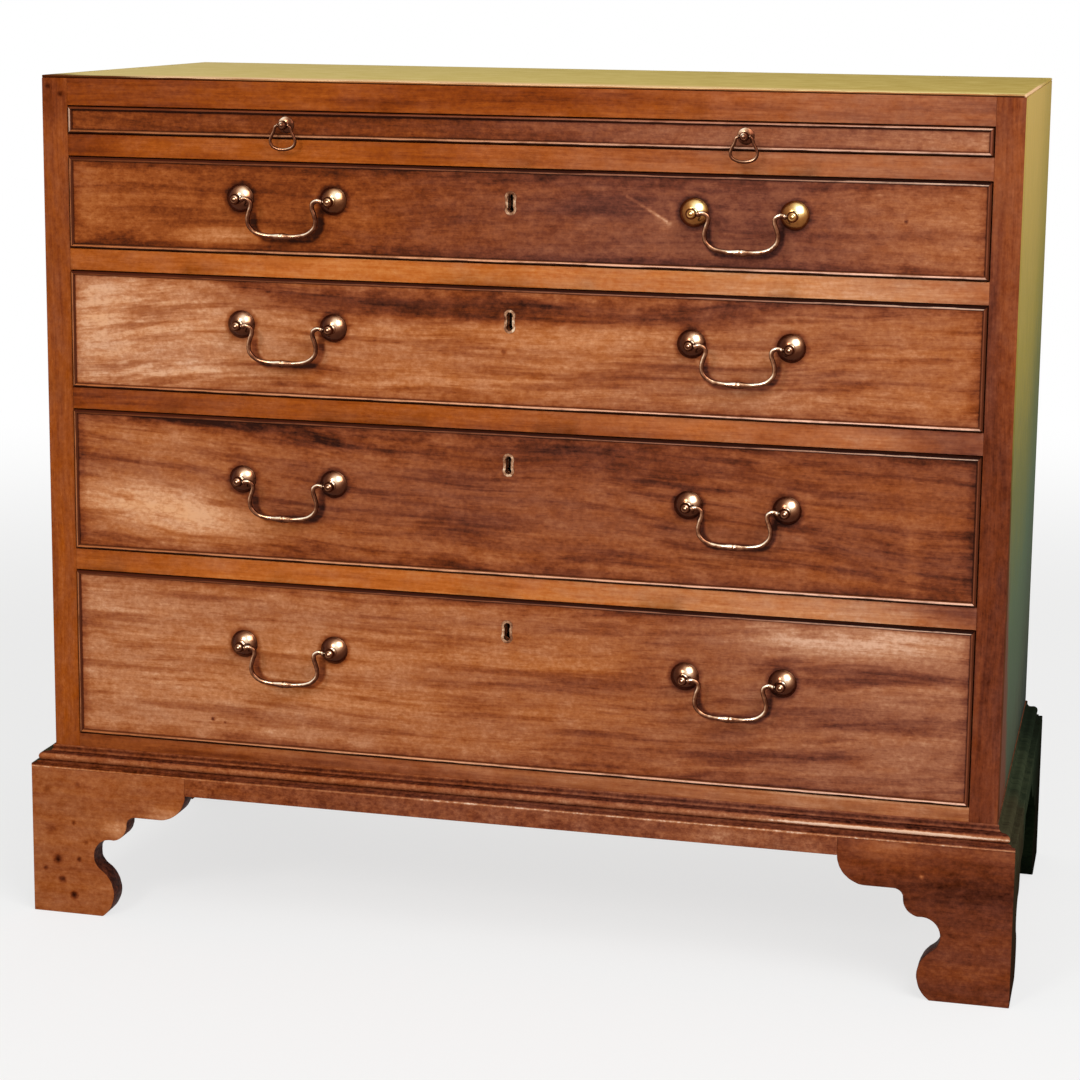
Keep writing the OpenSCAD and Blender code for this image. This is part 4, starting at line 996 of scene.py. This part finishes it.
def make_cockbead(node, front, body):
    """Four strips round the front of a drawer or slide."""
    low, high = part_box(front)
    width, height = high.x - low.x, high.z - low.z
    strips = [
        bead_strip(lambda s, y, up: (low.x + s, y, low.z + up), width),
        bead_strip(lambda s, y, up: (low.x + s, y, high.z - up), width),
        bead_strip(lambda s, y, up: (low.x + up, y, low.z + s), height),
        bead_strip(lambda s, y, up: (high.x - up, y, low.z + s), height),
    ]
    for index, strip in enumerate(strips):
        for face in strip.faces:
            face.material_index = min(index, 2)
    made = stand_in(node, merged(strips), LOW_BEAD, body)
    made.data.materials.append(SLIDE_HIGH_BEAD if body == "slide" else HIGH_BEAD)
    made.data.materials.append(SLIDE_UPRIGHT_BEAD if body == "slide" else UPRIGHT_BEAD)


# ---- Drawers and slide ----

# Tones across each front, from left to right, and what marks it
FRONTS = {
    "drawer_1": dict(
        zones=[(0.04, 0.54), (0.16, 0.41), (0.3, 0.36), (0.5, 0.36), (0.68, 0.34), (0.82, 0.42), (0.96, 0.6)],
        second_zones=[(0.3, 0.0), (0.5, 0.6), (0.6, 0.9), (0.75, 1.0), (0.96, 0.5)],
        patches=[
            (-40, 715, 180, 14, -0.06), (140, 690, 22, 26, 0.14), (-385, 660, 60, 14, -0.22),
            (-270, 662, 70, 16, 0.32), (-240, 716, 90, 14, -0.06), (110, 660, 120, 14, 0.1)],
        spots=[(352, 695, 3, -0.5)],
        scratches=[(106, 710, 142, 689, 2.0, 0.2), (126, 699, 144, 687, 3.5, 0.2)],
        shares=(0.14, 0.07, 0.14, 0.2, 0.22, 0.05),
    ),
    "drawer_2": dict(
        zones=[(0.04, 0.83), (0.16, 0.76), (0.3, 0.62), (0.5, 0.61), (0.62, 0.62), (0.8, 0.61), (0.96, 0.54)],
        second_zones=[(0.0, 0.55), (0.3, 0.3), (0.5, 0.2), (0.75, 0.5), (0.96, 0.3)], slope=-0.03,
        patches=[
            (-120, 608, 200, 17, -0.36), (60, 606, 190, 18, -0.24), (-190, 536, 90, 9, -0.2),
            (190, 602, 70, 18, -0.18), (-330, 536, 110, 12, 0.12), (30, 535, 100, 12, 0.12),
            (-90, 570, 60, 12, 0.06)],
        spots=[(-5, 566, 4, -0.3)],
        shares=(0.2, 0.13, 0.16, 0.18, 0.2, 0.05),
    ),
    "drawer_3": dict(
        zones=[
            (0.04, 0.54), (0.17, 0.59), (0.28, 0.46), (0.5, 0.44), (0.7, 0.42), (0.85, 0.37), (0.96, 0.35)],
        second_zones=[(0.0, 0.3), (0.3, 0.35), (0.6, 0.5), (0.96, 0.45)], slope=0.05,
        patches=[
            (-330, 386, 130, 26, 0.3), (-25, 402, 60, 26, -0.12), (60, 475, 240, 22, -0.2),
            (-270, 476, 200, 20, -0.34), (368, 425, 9, 50, 0.1), (60, 384, 100, 16, -0.1)],
        shares=(0.18, 0.12, 0.16, 0.18, 0.2, 0.05),
    ),
    "drawer_4": dict(
        zones=[(0.04, 0.69), (0.2, 0.66), (0.4, 0.63), (0.6, 0.55), (0.72, 0.48), (0.88, 0.57), (0.96, 0.59)],
        second_zones=[(0.0, 0.45), (0.4, 0.3), (0.6, 0.35), (0.8, 0.8), (0.96, 0.9)], slope=-0.02,
        patches=[
            (350, 275, 90, 9, -0.26), (330, 235, 110, 8, -0.14), (250, 205, 120, 10, -0.1),
            (310, 314, 130, 26, 0.38), (93, 206, 60, 20, -0.08), (-240, 205, 120, 20, 0.08),
            (-380, 310, 60, 16, 0.08)],
        spots=[(-288, 201, 3, -0.6), (-276, 199, 2.5, -0.5)],
        shares=(0.16, 0.11, 0.16, 0.18, 0.2, 0.05),
    ),
}


def make_drawer(n):
    """The finishes of a drawer, and its cockbeads."""
    name = f"drawer_{n}"
    handle = PIVOTS[name + "_bail_right"]
    front = wood(
        name + "_front_wood", WARM, "X", second=COOL, seed=50.0 + 7 * n,
        edges=(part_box(name + "_front"), 16, 0.2),
        brasses=(handle.x / MM, POST_HALF / MM, handle.z / MM), **FRONTS[name])
    dress(name + "_front", front)
    dress(name + "_box", drawer_oak)
    dress(name + "_bottom", oak_x)
    make_cockbead(name + "_cockbead", name + "_front", name)


drawer_oak = bare_wood("drawer_oak", DRY_OAK, "Y", seed=45.0)
for number in DRAWERS:
    make_drawer(number)

slide_wood = wood(
    "slide_front_wood", WARM, "X", second=COOL, shares=(0.1, 0.05, 0.16, 0.16, 0.22, 0.05), seed=47.0,
    edges=(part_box("slide_front"), 8, 0.12),
    zones=[(0.03, 0.36), (0.3, 0.3), (0.45, 0.3), (0.6, 0.48), (0.8, 0.56), (0.96, 0.66)],
    second_zones=[(0.4, 0.0), (0.6, 0.8), (0.96, 0.9)])
dress("slide_front", slide_wood)
dress("slide_board", wood("slide_board_wood", WARM, "X", level=0.42, seed=49.0))
make_cockbead("slide_cockbead", "slide_front", "slide")

# ---- Brasses ----

# Sides of a turned shape; how far the eyes stand out from the face; the drawer fronts' thickness; the ball
# at the end of a post, the pin in it, the pin's clearance and how far it goes past the middle; and the nut
POST_TURN = 40
EYE_OUT = FACE - PIVOTS["drawer_1_bail_left"].y
FRONT_T = 20 * MM
BALL_R = 5.0 * MM
PIN_R = 1.6 * MM
PIN_GAP = 0.05 * MM
PIN_PAST = 2.4 * MM
NUT_HALF = 4.5 * MM
NUT_T = 3.0 * MM
NUT_HOLE_R = 2.1 * MM
NUT_SOFT = 0.3 * MM
NUT_FACE = 0.94

# Post and rosette, turned about their axis: radius and distance out from the drawer's face, in millimetres.
# A dome has a radius, a height, the height of its rim and the radius of its hole, a ball the distance of
# its middle, its radius and that of its neck.
ROSETTE = [
    (0.4, -26.0), (1.7, -26.0), (2.0, -25.6), (2.0, -0.1), (12.7, 0.0), (13.0, 0.3), (13.0, 0.7), (12.9, 1.0)]
ROSETTE_DOME = (12.7, 8.0, 1.2, 3.6)
POST_BALL = (EYE_OUT / MM, BALL_R / MM, 3.0)
COLLAR = [(3.7, 7.5), (4.4, 7.7), (4.7, 8.2), (4.4, 8.8), (3.5, 9.1), (3.0, 9.6), (3.0, 10.6)]
RING_ROSETTE = [(0.4, -10.5), (1.2, -10.5), (2.0, -9.5), (2.0, -0.1), (7.3, 0.0), (7.6, 0.3), (7.5, 0.7)]
RING_DOME = (7.4, 3.0, 0.9, 2.5)
RING_BALL = (10.0, 4.5, 2.2)
RING_PIN_R = 1.15 * MM
RING_COLLAR = [(2.7, 2.9), (3.2, 3.1), (3.3, 3.6), (2.9, 4.0), (2.2, 4.4), (2.2, 6.0)]


def dome(radius, height, rim, top_radius):
    """Points of a low dome, from its foot to the hole in its top."""
    ball = (radius ** 2 + (height - rim) ** 2) / (2 * (height - rim))
    first = math.degrees(math.asin(radius / ball))
    last = math.degrees(math.asin(top_radius / ball))
    turns = [math.radians(first + (last - first) * i / 14) for i in range(15)]
    return [(ball * math.sin(a), height - ball + ball * math.cos(a)) for a in turns]


def ball(middle, radius, neck):
    """Points of the ball at the end of a post, with a ring cut round the middle of its face."""
    first = 180 - math.degrees(math.asin(neck / radius))
    last = 34
    turns = [math.radians(first + (last - first) * i / 18) for i in range(19)]
    face = [(0.46, 0.83), (0.4, 0.82), (0.34, 0.88), (0.24, 0.96), (0.08, 1.0)]
    return [(radius * math.sin(a), middle + radius * math.cos(a)) for a in turns] + [
        (radius * across, middle + radius * out) for across, out in face]


def ring_of(count):
    """Points of a circle of radius 1."""
    angles = [2 * math.pi * i / count for i in range(count)]
    return [(math.cos(a), math.sin(a)) for a in angles]


def turned(profile, turns=POST_TURN):
    """A turned shape, its axis along -Y; profile holds radius and distance out in millimetres."""
    bm = bmesh.new()
    circle = ring_of(turns)
    loft(bm, [[(r * MM * x, -out * MM, r * MM * z) for x, z in circle] for r, out in profile])
    return bm


def bored(bm, start, end, radius, out):
    """Cuts a bore along X, from start to end, at a distance out from the face."""
    cutter = bmesh.new()
    circle = ring_of(24)
    loft(cutter, [[(x, -out + radius * v, radius * u) for u, v in circle] for x in (start, end)])
    made = []
    for part, name in ((bm, "bored"), (cutter, "cutter")):
        bmesh.ops.recalc_face_normals(part, faces=part.faces)
        made.append(added(name, as_mesh(part, name)))
    modifier = made[0].modifiers.new("bore", "BOOLEAN")
    modifier.object = made[1]
    modifier.solver = "EXACT"
    modifier.operation = "DIFFERENCE"
    result = bmesh.new()
    result.from_object(made[0], bpy.context.evaluated_depsgraph_get())
    for scratch in made:
        bpy.data.objects.remove(scratch)
    return result


def copy_of(bm, place):
    """A copy of a bmesh, moved by a matrix."""
    result = bm.copy()
    result.transform(place)
    if place.determinant() < 0:
        bmesh.ops.reverse_faces(result, faces=result.faces)
    return result


def square_nut():
    """A square nut behind the drawer front, with its round hole."""
    circle = ring_of(16)
    hole = [(NUT_HOLE_R * x, NUT_HOLE_R * z) for x, z in circle]
    reaches = [NUT_HALF / max(abs(x), abs(z)) for x, z in circle]
    edge = [(reach * x, reach * z) for reach, (x, z) in zip(reaches, circle)]
    face = [(x * NUT_FACE, z * NUT_FACE) for x, z in edge]
    near, far = FRONT_T, FRONT_T + NUT_T
    layers = [
        (hole, near), (face, near), (edge, near + NUT_SOFT), (edge, far - NUT_SOFT), (face, far), (hole, far)]
    bm = bmesh.new()
    loft(bm, [[(x, y, z) for x, z in ring] for ring, y in layers], closed=True)
    return bm


def make_posts():
    """The posts, rosettes and nuts of the swan-neck handles."""
    profile = ROSETTE + dome(*ROSETTE_DOME) + COLLAR + ball(*POST_BALL)
    post = bored(turned(profile), -PIN_PAST - JOINT_GAP, 2 * BALL_R, PIN_R + PIN_GAP, EYE_OUT)
    nut = square_nut()
    for n in DRAWERS:
        parts = []
        for side in SIDES:
            pivot = PIVOTS[f"drawer_{n}_bail_{side}"]
            for end in (-1, 1):
                at = Matrix.Translation((pivot.x + end * POST_HALF, FACE, pivot.z))
                at = at @ Matrix.Diagonal((-end, 1, 1, 1))
                parts += [copy_of(post, at), copy_of(nut, at)]
        name = f"drawer_{n}_posts"
        finish = first_post_brass if n == 1 else post_brass
        piece(name + "_turned", merged(parts), finish, f"drawer_{n}", [name])


def smooth_route(points, steps):
    """Catmull-Rom curve through points."""
    result = []
    for i in range(len(points) - 1):
        a, b = Vector(points[max(i - 1, 0)]), Vector(points[i])
        c, d = Vector(points[i + 1]), Vector(points[min(i + 2, len(points) - 1)])
        for s in range(steps):
            t = s / steps
            result.append(0.5 * (2 * b + (c - a) * t + (2 * a - 5 * b + 4 * c - d) * t ** 2
                                 + (3 * b - a - 3 * c + d) * t ** 3))
    return result + [Vector(points[-1])]


def wire(route, centre, closed=False, sides=18):
    """Round wire in the XZ plane through centre; route holds its points and radii in millimetres."""
    bm = bmesh.new()
    rings = []
    last = len(route) - 1
    for i, (point, radius) in enumerate(route):
        before, after = route[max(i - 1, 0)][0], route[min(i + 1, last)][0]
        way = (Vector(after) - Vector(before)).normalized()
        ring = []
        for u, v in ring_of(sides):
            at = (point[0] - way.y * radius * u, radius * v, point[1] + way.x * radius * u)
            ring.append(centre + MM * Vector(at))
        rings.append(ring)
    loft(bm, rings, closed)
    return bm


# Half a swan-neck bail and half a ring, from the pivot: distance from the post or the middle, and height
BAIL_ROUTE = [
    (5.4, 0.0), (10.5, 0.8), (14.6, -1.6), (15.2, -6.0), (13.2, -12.0), (12.0, -18.0), (13.6, -24.4),
    (20.0, -29.8), (30.0, -32.2)]
BAIL_DROP = 32.8
BAIL_R = 2.1

# The bail's pin and shoulder and half the ring's pin: distance and radius. The curves begin past
# SHOULDER_END, or below GRIP_BELOW.
SHOULDER = [(-2.4, 1.3), (-2.0, 1.6), (5.1, 1.6), (5.4, 2.5), (5.9, 2.75), (6.5, 2.5)]
SHOULDER_END = 7.0
GRIP_BELOW = 5
RING_PIN = [(5.6, 1.6), (5.2, 1.8), (4.8, 1.6), (4.7, 1.1), (0.0, 1.1)]

# The grip's swelling and its groove
SWELL = 1.3
SWELL_L = 12.0
GROOVE_W = 0.7
GROOVE_D = 0.45
RING_ROUTE = [
    (4.9, 0.0), (7.2, -1.8), (8.6, -6.0), (10.8, -10.4), (11.9, -14.4), (10.2, -18.6), (5.7, -21.1)]
RING_DROP = 21.9
RING_R = 1.4


def there_and_back(half, drop, middle):
    """A route that goes down half, through the lowest point in the middle, and up its mirror image."""
    return half + [(middle, -drop)] + [(2 * middle - x, z) for x, z in reversed(half)]


def bail_radius(point, middle):
    """The grip swells towards its middle, where a fine groove is turned."""
    away = abs(point[0] - middle)
    if point[1] > -BAIL_DROP / 2 or away > SWELL_L:
        return BAIL_R
    swell = SWELL * math.cos(math.pi * away / SWELL_L / 2) ** 2
    return BAIL_R + swell - GROOVE_D * max(0.0, 1 - (away / GROOVE_W) ** 2)


def make_bail(n, side):
    """A swan-neck bail with its pins and shoulders."""
    middle = POST_HALF / MM
    path = smooth_route(there_and_back(BAIL_ROUTE, BAIL_DROP, middle), 14)
    grip = [p for p in path if min(p[0], 2 * middle - p[0]) > SHOULDER_END or p[1] < -GRIP_BELOW]
    start = [((x, 0.0), r) for x, r in SHOULDER]
    end = [((2 * middle - x, 0.0), r) for x, r in reversed(SHOULDER)]
    name = f"drawer_{n}_bail_{side}"
    centre = PIVOTS[name] - Vector((POST_HALF, 0.0, 0.0))
    bm = wire(start + [(p, bail_radius(p, middle)) for p in grip] + end, centre)
    piece(name + "_cast", bm, wire_brass, name, [name], smooth=60)


def make_ring(side):
    """A ring pull with its pin."""
    path = smooth_route(there_and_back([(-x, z) for x, z in RING_ROUTE], RING_DROP, 0.0), 10)
    hoop = [(p, RING_R) for p in path if abs(p[0]) > RING_PIN[0][0] or p[1] < -GRIP_BELOW]
    pin = [((x, 0.0), r) for x, r in RING_PIN]
    pin += [((-p[0], 0.0), r) for p, r in reversed(pin[:-1])]
    name = "ring_" + side
    bm = wire(hoop + pin, PIVOTS[name], closed=True)
    piece(name + "_cast", bm, ring_brass, name, [name], smooth=60)


def make_ring_posts():
    """The posts and rosettes of the slide's rings."""
    profile = RING_ROSETTE + dome(*RING_DOME) + RING_COLLAR + ball(*RING_BALL)
    out = FACE - PIVOTS["ring_left"].y
    post = bored(turned(profile), -10 * MM, 10 * MM, RING_PIN_R, out)
    parts = []
    for side in SIDES:
        pivot = PIVOTS["ring_" + side]
        parts.append(copy_of(post, Matrix.Translation((pivot.x, FACE, pivot.z))))
    piece("ring_posts_turned", merged(parts), ring_brass, "slide", ["ring_posts"])


# Ways that the brass faces where its highlight is painted: up and right for the posts, up and left for wires,
# rings and locks.
HIGHLIGHT_UP_RIGHT = (0.27, -0.87, 0.41)
HIGHLIGHT_UP_LEFT = (-0.3, -0.78, 0.55)
post_brass = brass("post_brass", [BRONZE], HIGHLIGHT_UP_RIGHT)
first_post_brass = brass("first_post_brass", [BRONZE, GOLDEN], HIGHLIGHT_UP_RIGHT, base=0.24, lift=0.12)
wire_brass = brass("wire_brass", [BRONZE], HIGHLIGHT_UP_LEFT, base=0.25, highlight_gain=0.85, stain=0.9, spread=6.0, lift=0.06)
ring_brass = brass("ring_brass", [BRONZE], HIGHLIGHT_UP_LEFT, base=0.18, highlight_gain=0.8, spread=6.0)
lock_brass = brass("lock_brass", [BRONZE], HIGHLIGHT_UP_LEFT, base=0.5, highlight_gain=0.5, stain=1.6, spread=5.0)
black_iron = iron("black_iron")

make_posts()
make_ring_posts()
for word in SIDES:
    make_ring(word)
    for number in DRAWERS:
        make_bail(number, word)
for number in DRAWERS:
    dress(f"drawer_{number}_lock", lock_brass)
    dress(f"drawer_{number}_bolt", black_iron)

# ---- Floor, light and camera ----

FLOOR_REACH = 40.0
FADE_FROM, FADE_TO = 1.2, 3.0
WORLD_LIGHT = 0.42
NEAR_WHITE = 0.7


def background_share(nodes, links):
    """1 for what the camera, a reflection or a clear view sees, 0 for light that falls on the object."""
    path = nodes.new("ShaderNodeLightPath")
    result = path.outputs["Is Camera Ray"]
    for name in ("Is Glossy Ray", "Is Transmission Ray"):
        node = nodes.new("ShaderNodeMath")
        node.operation = "MAXIMUM"
        links.new(result, node.inputs[0])
        links.new(path.outputs[name], node.inputs[1])
        result = node.outputs[0]
    return result


def make_floor():
    """A pale floor that keeps the chest's shadow and fades to white away from it."""
    bm = bmesh.new()
    bmesh.ops.create_grid(bm, x_segments=8, y_segments=8, size=FLOOR_REACH)
    f = Finish("pale_floor")
    f.set(base_color=srgb(238, 237, 235), roughness=0.9, specular_ior_level=0.1)
    white = f.nodes.new("ShaderNodeEmission")
    away = f.vector("LENGTH", f.place)
    plain = f.nodes.new("ShaderNodeMixShader")
    fade = f.remap(away, FADE_FROM, FADE_TO, NEAR_WHITE, 1.0)
    f.put(plain.inputs[0], fade * background_share(f.nodes, f.links))
    f.put(plain.inputs[1], f.shader.outputs[0])
    f.put(plain.inputs[2], white.outputs[0])
    f.put(f.nodes["Material Output"].inputs["Surface"], plain.outputs[0])
    floor = added("floor", as_mesh(bm, "floor"))
    floor.data.materials.append(f.material)


def make_world():
    """White where it is seen, dimmer as a light."""
    world = bpy.data.worlds.new("studio")
    bpy.context.scene.world = world
    world.use_nodes = True
    nodes, links = world.node_tree.nodes, world.node_tree.links
    background = nodes["Background"]
    background.inputs["Color"].default_value = (1.0, 1.0, 1.0, 1.0)
    strength = nodes.new("ShaderNodeMapRange")
    links.new(background_share(nodes, links), strength.inputs["Value"])
    strength.inputs["To Min"].default_value = WORLD_LIGHT
    strength.inputs["To Max"].default_value = 1.0
    links.new(strength.outputs[0], background.inputs["Strength"])


def make_lamp(name, place, aim, size, watts):
    """A square lamp that shines from place towards aim."""
    lamp = bpy.data.lights.new(name, "AREA")
    lamp.shape = "SQUARE"
    lamp.size = size
    lamp.energy = watts
    made = added(name, lamp)
    made.location = place
    made.rotation_euler = (Vector(aim) - Vector(place)).to_track_quat("-Z", "Y").to_euler()


def make_camera():
    """The photograph's viewpoint: above the top, a little to the right."""
    lens = bpy.data.cameras.new("camera")
    lens.sensor_width = 36.0
    lens.lens = 86.405
    lens.shift_y = -0.1157
    lens.clip_end = 300.0
    camera = added("camera", lens)
    camera.location = (0.5797, -2.4377, 0.8984)
    camera.rotation_euler = [math.radians(a) for a in (80.446, -0.582, 13.911)]
    bpy.context.scene.camera = camera


CHEST_MIDDLE = (0.0, 0.0, 0.4)
make_floor()
make_world()
make_lamp("window", (1.5, -1.7, 2.1), CHEST_MIDDLE, 1.7, 40)
make_lamp("key", (-0.9, -2.9, 2.0), CHEST_MIDDLE, 0.7, 26)
make_camera()
bpy.context.scene.view_settings.view_transform = "Standard"
